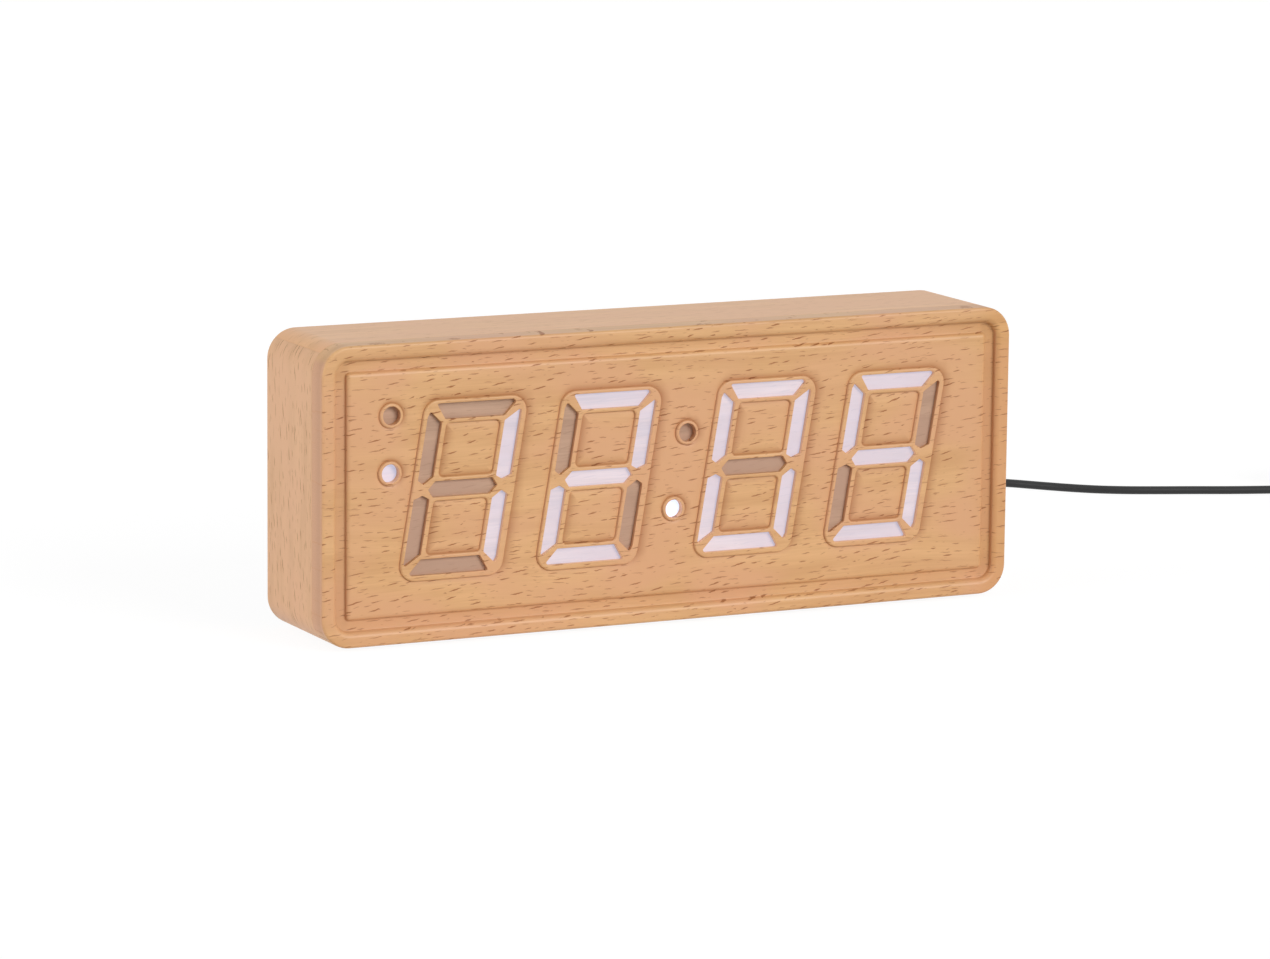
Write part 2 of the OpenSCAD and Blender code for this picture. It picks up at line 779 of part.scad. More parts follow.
module stem(i) {
    y = main_back + switch_floor + button_travel + stem_rest;
    color("black") bar(button_x + (i - 1) * button_pitch, y, mid_z + button_dz, stem_r, stem_top - y);
}

module button(i) {
    x = button_x + (i - 1) * button_pitch;
    z = mid_z + button_dz;
    flange_y = cover_in - flange_gap - flange_t;
    face_y = cover_out + button_proud - button_edge;
    color("black") {
        bar(x, stem_top, z, stem_r, flange_y - stem_top);
        bar(x, flange_y, z, button_r + flange_w, flange_t);
        bar(x, flange_y, z, button_r, face_y - flange_y);
        taper(x, face_y, z, button_r, button_r - button_edge, button_edge);
    }
}

// The alarm switch rests at the left end of its travel
module alarm_switch() {
    color("silver") difference() {
        block(alarm_x + slider_travel / 2, main_back, mid_z + alarm_dz, alarm_w, switch_h, alarm_depth);
        block(alarm_x + slider_travel / 2, main_back + switch_h - lever_in - run_gap, mid_z + alarm_dz,
            lever_w + slider_travel + 2 * run_gap, switch_h, lever_t + 2 * run_gap);
    }
}

module alarm_lever() {
    color("black") block(alarm_x, main_back + switch_h - lever_in, mid_z + alarm_dz,
        lever_w, lever_in + lever_out, lever_t);
}

module alarm_slider() {
    post_w = lever_w + 2 * slider_wall;
    post_h = lever_t + 2 * slider_wall;
    y = main_back + switch_h + lever_out - slider_socket;
    pad_y = cover_out + slider_gap;
    pad_w = post_w + slider_travel + 2 * slider_pad_over;
    color("black") difference() {
        union() {
            block(alarm_x, y, mid_z + alarm_dz, post_w, pad_y - y + slider_pad_t / 2, post_h);
            block(alarm_x, pad_y, mid_z + alarm_dz, pad_w, slider_pad_t, post_h + 2 * slider_pad_over);
        }
        block(alarm_x, y - over, mid_z + alarm_dz, lever_w + 2 * run_gap, slider_socket + over,
            lever_t + 2 * run_gap);
        for (i = [1:slider_ribs])
            block(alarm_x + (i - (slider_ribs + 1) / 2) * 2 * slider_rib_w,
                pad_y + slider_pad_t - slider_rib_d, mid_z + alarm_dz, slider_rib_w,
                slider_rib_d + over, post_h);
    }
}

// Backup cell

module cell_holder() {
    z = mid_z + cell_dz;
    color("ivory") difference() {
        bar(cell_x, main_back, z, cell_r + holder_wall, holder_floor + contact_t + cell_h);
        bar(cell_x, main_back + holder_floor, z, cell_r + fit_gap, cell_h + over);
        block(cell_x, main_back + holder_floor, z - cell_r - holder_wall, contact_w + 2 * fit_gap,
            cell_h + over, 2 * holder_wall + 2 * fit_gap);
    }
}

module coin_cell() {
    color("silver") bar(cell_x, main_back + holder_floor + contact_t, mid_z + cell_dz, cell_r, cell_h);
}

module cell_contacts() {
    z = mid_z + cell_dz;
    y = main_back + holder_floor;
    color("gold") {
        bar(cell_x, y, z, contact_w, contact_t, small_fn);
        block(cell_x, y, z - cell_r - holder_wall / 2, contact_w, cell_h + 2 * contact_t, contact_t);
        block(cell_x, y + contact_t + cell_h, z - cell_r + (clip_lip - holder_wall / 2) / 2, contact_w,
            contact_t, clip_lip + holder_wall / 2);
    }
}

// A pair of opposite wedges, seen from the back
module wedges(angle, r) {
    for (turn = [0, 180]) rotate([0, 0, turn])
        polygon([[0, 0], [r, -r * tan(angle / 2)], [r, r * tan(angle / 2)]]);
}

module door_lugs(y, t, r, angle, turn) {
    translate([cell_x, 0, mid_z + cell_dz]) rotate([0, turn, 0]) facing(y, t) intersection() {
        circle(r = r, $fn = round_fn);
        wedges(angle, 2 * r);
    }
}

module battery_door() {
    z = mid_z + cell_dz;
    neck_y = cover_in - lug_gap - lug_t;
    disc_y = cover_out - door_step + door_seat;
    color("black") difference() {
        union() {
            bar(cell_x, disc_y, z, door_r, cover_out - disc_y);
            bar(cell_x, neck_y, z, door_neck_r, disc_y - neck_y);
            door_lugs(neck_y, lug_t, door_neck_r + lug_out, lug_angle, 0);
        }
        block(cell_x, cover_out - slot_d, z, slot_l, slot_d + over, slot_w);
    }
}

module rear_cover() {
    z = mid_z + cell_dz;
    color("dimgray") difference() {
        union() {
            facing(cover_in, cover_t) translate([0, mid_z]) rounded_rect(cover_w, cover_h, cover_corner_r);
            at_board_screws() bar(0, main_back, 0, boss_r, cover_in - main_back);
        }
        at_board_screws() bar(0, main_back - over, 0, machine_screw_r + screw_gap,
            cover_in - main_back + over, small_fn);
        at_cover_screws() {
            bar(0, cover_in - over, 0, cover_screw_r + fit_gap, cover_t + 2 * over, small_fn);
            taper(0, cover_out - cover_screw_head_h, 0, cover_screw_r + screw_gap,
                cover_screw_head_r + screw_gap, cover_screw_head_h + screw_gap);
        }
        for (i = [0:2])
            bar(button_x + (i - 1) * button_pitch, cover_in - over, mid_z + button_dz, button_r + run_gap,
                cover_t + 2 * over);
        block(alarm_x + slider_travel / 2, cover_in - over, mid_z + alarm_dz,
            lever_w + 2 * slider_wall + slider_travel + 2 * slider_gap, cover_t + 2 * over,
            lever_t + 2 * slider_wall + 2 * slider_gap);
        bar(cell_x, cover_in - over, z, door_neck_r + run_gap, cover_t + 2 * over);
        bar(cell_x, cover_out - door_step, z, door_r + run_gap, door_step + over);
        door_lugs(cover_in - over, cover_t - door_step + 2 * over, door_neck_r + lug_out + run_gap,
            lug_angle + notch_margin, door_turn);
        bar(jack_x, cover_in - over, jack_z, jack_neck_r + fit_gap, cover_t + 2 * over);
        bar(buzzer_x, cover_in - over, buzzer_z, sound_hole_r, cover_t + 2 * over, small_fn);
        for (i = [1:sound_holes])
            bar(buzzer_x + sound_ring_r * cos(360 * i / sound_holes), cover_in - over,
                buzzer_z + sound_ring_r * sin(360 * i / sound_holes), sound_hole_r,
                cover_t + 2 * over, small_fn);
    }
}

module at_cover_screws() {
    for (sx = [-1, 1], sz = [-1, 1]) translate([sx * block_x, 0, mid_z + sz * block_z]) children();
}

module cover_screws() {
    color("silver") at_cover_screws() difference() {
        union() {
            bar(0, cover_out - cover_screw_l, 0, cover_screw_r, cover_screw_l - cover_screw_head_h, small_fn);
            taper(0, cover_out - cover_screw_head_h, 0, cover_screw_r, cover_screw_head_r,
                cover_screw_head_h);
        }
        cross_recess(cover_out);
    }
}

// Plug, cord and far plug

module plug_barrel() {
    color("silver") difference() {
        bar(jack_x, cover_out - barrel_l, jack_z, jack_bore_r - run_gap, barrel_l);
        bar(jack_x, cover_out - barrel_l - over, jack_z, barrel_bore_r, barrel_l + over, small_fn);
    }
}

module plug_grip() {
    rib_step = plug_l / (2 * grip_ribs);
    color("black") difference() {
        taper(jack_x, cover_out, jack_z, plug_r, grip_end_r, plug_l);
        for (side = [-1, 1], i = [1:grip_ribs])
            block(jack_x + side * plug_r, cover_out + i * rib_step, jack_z, 2 * grip_rib_d + rib_step / 2,
                grip_rib_w, plug_r);
    }
}

module strain_relief() {
    y = cover_out + plug_l;
    step = relief_l / relief_ribs;
    slope = (relief_r - relief_end_r) / relief_l;
    color("black") for (i = [0:relief_ribs - 1]) {
        bar(jack_x, y + i * step, jack_z, relief_end_r, step);
        taper(jack_x, y + i * step, jack_z, relief_r - i * step * slope,
            relief_r - (i + 1) * step * slope, step - relief_slot);
    }
}

module cord_run() {
    color("black") tube(smooth_route(cord_route, 2), cord_d / 2, cord_sides);
}

// How far the coil has spiralled inwards after t turns, in turns
function inwards(t) =
    let (layer = floor(t / layer_turns), rest = t - layer * layer_turns)
    layer % 2 == 0 ? rest : layer_turns - rest;

// How many layers it has climbed after t turns: one in each half turn round a reversal
function climbed(t) =
    let (k = max(1, min(coil_layers - 1, round(t / layer_turns))), s = 2 * (t - k * layer_turns) + 1 / 2)
    k - 1 + (s <= 0 ? 0 : s >= 1 ? 1 : s * s * (3 - 2 * s));

function coil_point(t) =
    let (r = coil_r - inwards(t) * coil_pitch, a = coil_heading - 90 + 360 * t)
    coil_middle + [r * cos(a), r * sin(a), climbed(t) * coil_pitch];

coil_count = round(coil_turns * coil_steps);
coil_rings = [for (i = [0:coil_count]) coil_point(i * coil_turns / coil_count)];
tail_heading = coil_heading + 360 * coil_turns;
tail_dir = [cos(tail_heading), sin(tail_heading), 0];
coil_path = [cord_end, each coil_rings, coil_rings[coil_count] + cord_d * tail_dir];
coil_end = coil_path[len(coil_path) - 1];
tail_points = [for (p = tail_route) coil_end + p.x * tail_dir + p.z * [0, 0, 1]];
tail_end = tail_points[len(tail_points) - 1];

// Least gap between two turns of the coil, measured on its rings
function coil_self_gap() =
    min([for (i = [0:coil_count], j = [i + coil_steps / 2:coil_count])
        norm(coil_rings[i] - coil_rings[j])]) - cord_d;

function path_length(p) =
    [for (i = [1:len(p) - 1]) norm(p[i] - p[i - 1])] * [for (i = [1:len(p) - 1]) 1];

module cord_coil() {
    echo(coil_self_gap = coil_self_gap(), coil_length = path_length(coil_path),
        cord_length = path_length(smooth_route(cord_route, 2)) + path_length(coil_path)
            + path_length(tail_points));
    color("black") tube(coil_path, cord_d / 2, coil_sides);
}

module cord_tail() {
    color("black") tube(smooth_route(tail_points, 2), cord_d / 2, cord_sides);
}

module cord_tie() {
    w = layer_turns * coil_pitch + cord_d + 2 * tie_gap;
    h = (coil_layers - 1) * coil_pitch + cord_d + tie_gap;
    color("dimgray") translate([coil_middle.x, coil_middle.y, 0]) rotate([0, 0, tie_turn])
        translate([coil_mean_r, 0, tie_t + h / 2]) facing(-tie_w / 2, tie_w) difference() {
            square([w + 2 * tie_t, h + 2 * tie_t], center = true);
            square([w, h], center = true);
        }
}

module at_tail_end(along) {
    translate(tail_end + along * tail_dir) rotate([0, 0, tail_heading - 90]) children();
}

module usb_grip() {
    color("black") {
        at_tail_end(0) taper(0, 0, 0, cord_d / 2, usb_neck_r, usb_neck_l + usb_neck_r);
        at_tail_end(usb_neck_l) facing(0, usb_grip_l) rounded_rect(usb_grip_w, usb_grip_h, usb_grip_r);
    }
}

module usb_shell() {
    color("silver") at_tail_end(usb_neck_l + usb_grip_l) facing(0, usb_shell_l) difference() {
        square([usb_shell_w, usb_shell_h], center = true);
        square([usb_shell_w - 2 * usb_shell_t, usb_shell_h - 2 * usb_shell_t], center = true);
    }
}

module usb_tongue() {
    color("white") at_tail_end(usb_neck_l + usb_grip_l)
        block(0, 0, (usb_shell_h - usb_tongue_h) / 2 - usb_shell_t, usb_tongue_w, usb_tongue_l, usb_tongue_h);
}

long_board(1);  // case_top
long_board(-1);  // case_bottom
short_board(-1);  // case_left
short_board(1);  // case_right
corner_block(-1, 1);  // block_top_left
corner_block(1, 1);  // block_top_right
corner_block(-1, -1);  // block_bottom_left
corner_block(1, -1);  // block_bottom_right
front_board();
window_veneer();
light_box();
display_board();
segment_leds();
light_box_screws();
pin_header();
pin_socket();
main_board();
controller_chip();
driver_chips();
crystal();
buzzer();
dc_jack();
jack_pin();
tact_switch(0);  // switch_set
tact_switch(1);  // switch_up
tact_switch(2);  // switch_down
stem(0);  // stem_set
stem(1);  // stem_up
stem(2);  // stem_down
button(0);  // button_set
button(1);  // button_up
button(2);  // button_down
alarm_switch();
alarm_lever();
alarm_slider();
cell_holder();
coin_cell();
cell_contacts();
board_screws();
rear_cover();
battery_door();
cover_screws();
foot(-1, -1);  // foot_front_left
foot(1, -1);  // foot_front_right
foot(-1, 1);  // foot_back_left
foot(1, 1);  // foot_back_right
plug_barrel();
plug_grip();
strain_relief();
cord_run();
cord_coil();
cord_tail();
cord_tie();
usb_grip();
usb_shell();
usb_tongue();
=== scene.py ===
# Wooden alarm clock: carved beech front, mitred case, lit segment digits and a thin cord.
# Lengths are millimetres until they go into a mesh. X runs right, Y to the back, Z up from the feet.
import math

import bmesh
import bpy
import numpy as np
from mathutils import Matrix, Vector
from mathutils.geometry import delaunay_2d_cdt


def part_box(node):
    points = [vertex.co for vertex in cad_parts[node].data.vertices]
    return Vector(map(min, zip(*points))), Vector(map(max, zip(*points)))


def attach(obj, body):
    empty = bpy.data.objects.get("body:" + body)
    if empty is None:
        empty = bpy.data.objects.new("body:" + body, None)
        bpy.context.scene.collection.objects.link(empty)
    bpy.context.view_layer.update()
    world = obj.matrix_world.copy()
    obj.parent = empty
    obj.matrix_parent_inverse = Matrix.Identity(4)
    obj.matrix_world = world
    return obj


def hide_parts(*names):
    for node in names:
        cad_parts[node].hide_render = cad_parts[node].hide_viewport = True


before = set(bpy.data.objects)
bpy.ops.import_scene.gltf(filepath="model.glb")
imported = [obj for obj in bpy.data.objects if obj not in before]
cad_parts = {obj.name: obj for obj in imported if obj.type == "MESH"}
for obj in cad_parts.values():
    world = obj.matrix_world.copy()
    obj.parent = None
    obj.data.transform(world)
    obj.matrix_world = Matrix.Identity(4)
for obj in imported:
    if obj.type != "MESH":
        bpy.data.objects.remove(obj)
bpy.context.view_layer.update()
mm = 0.001
tiny = 1e-4
weldGap = 0.004


# Dictionary of values that are read by their names.
class named(dict):
    __getattr__ = dict.__getitem__


# Lowest and highest corner of a node, in millimetres.
def nodeBox(name):
    return np.array([list(corner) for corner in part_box(name)]) / mm


# Middle of a node, seen from the front.
def nodeMiddle(name):
    return nodeBox(name).mean(0)[[0, 2]]


frontY, boardBack = nodeBox("front_board")[:, 1]
coverStart, coverOut = nodeBox("rear_cover")[:, 1]
plateThick = 2.5
coverIn = coverOut - plateThick


def unitRows(vectors):
    return vectors / np.linalg.norm(vectors, axis=-1, keepdims=True)


# Light that a screen shows for a colour written from 0 to 255: the curve of the screen, undone.
def paint(*color):
    shade = np.array(color) / 255
    linear = np.where(shade <= 0.04045, shade / 12.92, ((shade + 0.055) / 1.055) ** 2.4)
    return (*linear.tolist(), 1.0)


# Name in camel case for the words of a node or a slot.
def camel(words):
    first, *others = words.split("_")
    return first + "".join(word.capitalize() for word in others)


# Object in the scene. Only the camera and the lamps get axes and a place.
def addObject(name, data, axes=None, place=(0, 0, 0)):
    thing = bpy.data.objects.new(name, data)
    if axes is not None:
        way = Matrix(np.stack(axes, 1).tolist()).to_4x4()
        thing.matrix_world = Matrix.Translation([value * mm for value in place]) @ way
    bpy.context.scene.collection.objects.link(thing)
    return thing


# Camera: a long lens from the left front, a little above the clock.
cameraView = named(
    place=(-655.62, -1327.57, 294.65), azimuth=26.19, elevation=9.89, roll=0.57, lens=157.17, sensor=36)


def makeCamera(look):
    azimuth, elevation, roll = (math.radians(look[key]) for key in ("azimuth", "elevation", "roll"))
    ahead = np.array([math.sin(azimuth) * math.cos(elevation), math.cos(azimuth) * math.cos(elevation),
                      -math.sin(elevation)])
    level = unitRows(np.cross(ahead, [0, 0, 1]))
    right = math.cos(roll) * level + math.sin(roll) * np.cross(level, ahead)
    lens = bpy.data.cameras.new("camera")
    lens.lens = look.lens
    lens.sensor_width = look.sensor
    camera = addObject("camera", lens, (right, np.cross(right, ahead), -ahead), look.place)
    bpy.context.scene.camera = camera


makeCamera(cameraView)
print("camera placed")


# Mesh tools. A drawing is an outline in X and Z, and lineAt(out) is the outline grown by a distance.
# A part of a piece is (points, faces), and a piece is made of several parts.

# Cosine and sine of each angle.
def spokesAt(angle):
    return np.stack([np.cos(angle), np.sin(angle)], -1)


# Four corners, half the width and half the height to each side of the middle.
def rectangle(width, height, x=0.0, z=0.0):
    return np.array([[-1, -1], [1, -1], [1, 1], [-1, 1]]) * [width / 2, height / 2] + [x, z]


# Front face of a node's box, grown by a distance.
def nodeFace(name, out=0.0):
    low, high = nodeBox(name)
    return rectangle(high[0] - low[0] + 2 * out, high[2] - low[2] + 2 * out, 0, (low[2] + high[2]) / 2)


# Polygon with round corners, anticlockwise. A corner is an arc about the point that lies the radius
# inside both of its sides, drawn with the radius plus the offset, so that grown outlines run parallel.
# Each straight side is cut into the same number of pieces, whatever the offset, and swells by a trace,
# so that no three of its points lie on one line.
def rounded(corners, radius, steps=6, pieces=1, leastRadius=0.05, swell=0.002):
    corners = np.asarray(corners, float)
    x, z = corners.T
    corners = corners[::int(np.sign(np.sum(x * np.roll(z, -1) - z * np.roll(x, -1))))]
    ahead = unitRows(np.roll(corners, -1, 0) - corners)
    outward = np.stack([ahead[:, 1], -ahead[:, 0]], 1)
    before = np.roll(outward, 1, 0)
    cosine = np.sum(before * outward, 1)
    sine = before[:, 0] * outward[:, 1] - before[:, 1] * outward[:, 0]
    bend = np.arctan2(sine, cosine)[:, None] * np.linspace(0, 1, steps + 1)
    spokes = spokesAt(np.arctan2(before[:, 1], before[:, 0])[:, None] + bend)
    share = np.linspace(0, 1, pieces + 1)[1:-1, None]

    def lineAt(out=0.0):
        reach = max(radius, leastRadius - out)
        centre = corners - (before + outward) * reach / (1 + cosine[:, None])
        arcs = centre[:, None] + (reach + out) * spokes
        sides = arcs[:, -1:] + (np.roll(arcs, -1, 0)[:, :1] - arcs[:, -1:]) * share
        sides = sides + outward[:, None] * 4 * share * (1 - share) * swell
        return np.concatenate([arcs, sides], 1).reshape(-1, 2)

    return lineAt


# Circle: its middle plus the radius times the cosine and the sine of evenly spaced angles.
def circle(place, radius, steps=40):
    spokes = spokesAt(np.arange(steps) * 2 * math.pi / steps)
    return lambda out=0.0: np.asarray(place) + (radius + out) * spokes


# A drawing set at one depth, or at a depth for each point.
def setAt(drawing, depth):
    return np.stack([drawing[:, 0], np.broadcast_to(depth, len(drawing)), drawing[:, 1]], 1)


# Rows of points for a profile, which gives the growth and the depth of each.
def rowsOf(lineAt, profile):
    return [setAt(lineAt(out), y) for out, y in profile]


# Quads between closed rows of points, and from the last row to the first on a closed path.
def loft(rows, closedPath=False):
    grid = np.asarray(rows)
    lines, columns = grid.shape[:2]
    index = np.arange(lines * columns).reshape(lines, columns)
    index = np.concatenate([index, index[:, :1]], 1)
    if closedPath:
        index = np.concatenate([index, index[:1]], 0)
    quads = np.stack([index[:-1, :-1], index[:-1, 1:], index[1:, 1:], index[1:, :-1]], -1)
    return grid.reshape(-1, 3), quads.reshape(-1, 4).tolist()


# Loft with a flat face at each of the chosen ends.
def solid(rows, ends=(0, -1)):
    return [loft(rows)] + [(rows[end], [list(range(len(rows[end])))]) for end in ends]


# Straight wall along a line from one depth to another, and the same with a floor at its end.
def drilled(line, startY, endY):
    return loft([setAt(line, startY), setAt(line, endY)])


def pit(line, startY, endY):
    return solid([setAt(line, startY), setAt(line, endY)], [-1])


# Quarter of an ellipse as rows of (out, y), from the tangent at its start to that at its end.
def quarter(start, end, steps):
    (a, b), (c, d) = start, end
    turns = np.linspace(0, math.pi / 2, steps + 1).tolist()
    return [(a + (c - a) * math.sin(t), b + (d - b) * (1 - math.cos(t))) for t in turns]


# Rounded edge of a disc or plate, which ends on the flat face at y.
def roundedEdge(radius, y, edge, steps=4):
    return quarter((radius - abs(edge), y), (radius, y - edge), steps)[::-1]


# Wall of a hole, whose rim is rounded where it starts.
def holeWall(lineAt, startY, endY, edge):
    rim = quarter((edge, startY), (0, startY + math.copysign(edge, endY - startY)), steps=3)
    return loft(rowsOf(lineAt, rim + [(0, endY)]))


# Surface turned about a line along Y: rows of (radius, y).
def turned(place, profile, steps=48):
    return loft(rowsOf(circle(place, 0, steps), profile))


# Part drawn about the Y axis, turned so that Y runs a level way, and moved.
def placed(part, origin, way):
    points, faces = part
    return origin + points @ np.array([[way[1], -way[0], 0], way, [0, 0, 1]]), faces


# True for each point that an odd number of line stretches pass to the right of.
def isWithin(points, outlines):
    start = np.concatenate(outlines)
    end = np.concatenate([np.roll(line, -1, 0) for line in outlines])
    x, z = points[:, :1], points[:, 1:]
    passes = (start[:, 1] > z) != (end[:, 1] > z)
    height = np.where(start[:, 1] == end[:, 1], 1.0, end[:, 1] - start[:, 1])
    crossing = start[:, 0] + (z - start[:, 1]) * (end[:, 0] - start[:, 0]) / height
    return np.sum(passes & (crossing > x), axis=1) % 2 == 1


# Distance from each point to a closed line, and the line's outward direction at the nearest place.
def nearestOn(points, line):
    along = np.roll(line, -1, 0) - line
    away = points[:, None] - line
    share = np.clip(np.sum(away * along, -1) / np.sum(along * along, -1), 0, 1)
    distance = np.linalg.norm(away - share[..., None] * along, axis=-1)
    outward = unitRows(np.stack([along[:, 1], -along[:, 0]], 1))
    return np.min(distance, axis=1), outward[np.argmin(distance, axis=1)]


# Flat or gently curved sheet inside the first outline, without what lies inside the others. Loose
# points refine it, the depth is a number or a function of the drawing's points, and points that lie
# closer together than a trace are one.
def sheetInside(outlines, depth, loose=(), together=1e-5):
    starts = np.cumsum([0] + [len(line) for line in outlines]).tolist()
    edges = [(start + i, start + (i + 1) % len(line))
             for start, line in zip(starts, outlines) for i in range(len(line))]
    drawing = np.concatenate([*outlines, *loose]).tolist()
    made = delaunay_2d_cdt([tuple(point) for point in drawing], edges, [], 0, together)
    points = np.array([tuple(point) for point in made[0]])
    faces = np.array([list(face) for face in made[2]])
    faces = faces[isWithin(points[faces].mean(1), outlines)]
    used, faces = np.unique(faces, return_inverse=True)
    points = points[used]
    return setAt(points, depth(points) if callable(depth) else depth), faces.reshape(-1, 3).tolist()


# Points on a square pattern that keep clear of every line.
def scattered(low, high, spacing, lines, clear):
    x, z = (np.arange(low[i], high[i], spacing) for i in (0, 1))
    points = np.stack(np.meshgrid(x, z), -1).reshape(-1, 2)
    for line in lines:
        points = points[nearestOn(points, line)[0] > clear]
    return points


# Three times the square less twice the cube, between nought and one.
def smoothStep(value):
    value = np.clip(value, 0, 1)
    return value * value * (3 - 2 * value)


# Object of a mesh: smooth but for edges over the sharp angle, on its body, for its nodes.
def finishPiece(name, mesh, material, body, slot, nodes, sharp):
    mesh.polygons.foreach_set("use_smooth", np.ones(len(mesh.polygons), bool))
    mesh.set_sharp_from_angle(angle=math.radians(sharp))
    mesh.materials.append(material)
    piece = addObject(name, mesh)
    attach(piece, body)
    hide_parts(*nodes)
    return piece


# Piece that stands for one node: its parts are joined, doubles are merged and faces turned outwards.
# A value for each face goes into an attribute.
def makePiece(node, parts, slot, body="clock", name=None, material=None, sharp=40, lit=None):
    points = np.concatenate([points for points, _ in parts]) * mm
    starts = np.cumsum([0] + [len(points) for points, _ in parts]).tolist()
    faces = [[corner + start for corner in face] for part, start in zip(parts, starts) for face in part[1]]
    mesh = bpy.data.meshes.new(name or camel(node))
    mesh.from_pydata(points.tolist(), [], faces)
    if lit is not None:
        mesh.attributes.new("lit", "FLOAT", "FACE").data.foreach_set("value", lit)
    work = bmesh.new()
    work.from_mesh(mesh)
    bmesh.ops.remove_doubles(work, verts=work.verts, dist=weldGap * mm)
    bmesh.ops.recalc_face_normals(work, faces=work.faces)
    work.to_mesh(mesh)
    work.free()
    piece = finishPiece(mesh.name, mesh, material or materials[slot], body, slot, [node], sharp)
    piece.modifiers.new("normals", "WEIGHTED_NORMAL").keep_sharp = True
    return piece


# Node tools. A wire is the output of a node, and sums, products and powers of wires are Math nodes.

class wire:
    def __init__(self, node, key=0):
        self.tree = node.id_data
        self.socket = node.outputs[key]

    def __add__(self, other):
        return calc("ADD", self, other)

    def __sub__(self, other):
        return calc("SUBTRACT", self, other)

    def __rsub__(self, other):
        return calc("SUBTRACT", other, self)

    def __mul__(self, other):
        return calc("MULTIPLY", self, other)

    def __truediv__(self, other):
        return calc("DIVIDE", self, other)

    def __pow__(self, other):
        return calc("POWER", self, other)

    def __abs__(self):
        return calc("ABSOLUTE", self)


def feed(target, value):
    if isinstance(value, wire):
        value.tree.links.new(value.socket, target)
    else:
        target.default_value = value


# Node of a kind with its settings, fed by the number or the name of each input.
def newNode(tree, kind, inputs=None, **settings):
    node = tree.nodes.new("ShaderNode" + kind)
    for key, value in settings.items():
        setattr(node, key, value)
    for key, value in (inputs or {}).items():
        feed(node.inputs[key], value)
    return node


def calc(operation, *values, kind="Math"):
    tree = next(value.tree for value in values if isinstance(value, wire))
    return wire(newNode(tree, kind, dict(enumerate(values)), operation=operation))


def vectorCalc(operation, *values):
    return calc(operation, *values, kind="VectorMath")


def scaled(vector, factor):
    return wire(newNode(factor.tree, "VectorMath", {0: vector, "Scale": factor}, operation="SCALE"))


def split(vector):
    node = newNode(vector.tree, "SeparateXYZ", {0: vector})
    return [wire(node, axis) for axis in range(3)]


# Smooth rise from low to high as the value goes from its start to its end.
def rise(value, start, end, low=0.0, high=1.0):
    inputs = dict(enumerate((value, start, end, low, high)))
    return wire(newNode(value.tree, "MapRange", inputs, interpolation_type="SMOOTHSTEP"))


def blendColors(factor, first, second, way="MIX"):
    inputs = {0: factor, 6: first, 7: second}
    return wire(newNode(factor.tree, "Mix", inputs, data_type="RGBA", blend_type=way), 2)


# Noise on a vector that is stretched by three frequencies, in cycles for each millimetre.
def noise(vector, frequency, detail=2.0, output="Fac"):
    inputs = {"Vector": vectorCalc("MULTIPLY", vector, frequency), "Scale": 1.0, "Detail": detail}
    return wire(newNode(vector.tree, "TexNoise", inputs), output)


def attribute(tree, name):
    return wire(newNode(tree, "Attribute", attribute_name=name), "Fac")


# Group whose inputs and outputs are named under their kinds.
def makeGroup(name, inputs, outputs):
    tree = bpy.data.node_groups.new(name, "ShaderNodeTree")
    for way, sockets in (("INPUT", inputs), ("OUTPUT", outputs)):
        for kind, names in sockets.items():
            for key in names.split():
                tree.interface.new_socket(key, in_out=way, socket_type="NodeSocket" + kind)
    source = tree.nodes.new("NodeGroupInput")
    given = {socket.name: wire(source, socket.name) for socket in source.outputs if socket.name}
    return tree, given, tree.nodes.new("NodeGroupOutput").inputs


# Material with its own Principled shader. Plain values go straight into the shader's sockets.
def makeMaterial(name, **plain):
    material = bpy.data.materials.new(name)
    material.use_nodes = True
    shader = material.node_tree.nodes["Principled BSDF"]
    for key, value in plain.items():
        shader.inputs[key].default_value = value
    return material, material.node_tree, shader


# Millimetres along the object's axes, turned and moved as the pattern needs, with the plain
# coordinates and the normal.
def ownPlace(tree, turn=(0, 0, 0), move=(0, 0, 0)):
    coordinates = newNode(tree, "TexCoord")
    own = wire(coordinates, "Object")
    place = newNode(tree, "Mapping", {
        "Vector": own, "Location": move, "Rotation": [math.radians(angle) for angle in turn],
        "Scale": (1 / mm, 1 / mm, 1 / mm)})
    return wire(place), own, wire(coordinates, "Normal")


def raiseSurface(shader, height, strength, distance):
    inputs = {"Height": height, "Strength": strength, "Distance": distance * mm}
    feed(shader.inputs["Normal"], wire(newNode(height.tree, "Bump", inputs)))


# Beech. X runs along the grain. Short dark spindles are the cut rays: each lies in its own cell, and
# its half width falls with the square of the way along it. Length, width and lean are the least value
# and what chance adds. The whole pattern bends slowly sideways.
beech = named(
    sway=(0.011, 0.03, 0.02), swayWays=(0, 1, 0.5), ragged=(0.8, 0.9, 1.0), raggedReach=0.5,
    cellChance=0.9, leastStrength=0.5, fleckRise=(-0.15, 0.55), fibre=(0.07, 2.3, 2.3), fibreHeight=0.35,
    streak=(0.014, 0.25, 0.25), streakShare=1.8, patch=(0.035, 0.06, 0.06), patchRise=(0.35, 0.65),
    layers=(named(cell=(5.9, 2.0, 8.0), length=(1.25, 1.8), width=(0.13, 0.09), lean=(-0.04, 0.24),
                  least=0.28, depth=0.95),
            named(cell=(3.3, 1.2, 5.0), length=(0.45, 0.8), width=(0.07, 0.06), lean=(-0.05, 0.24),
                  least=0.62, depth=0.5)))


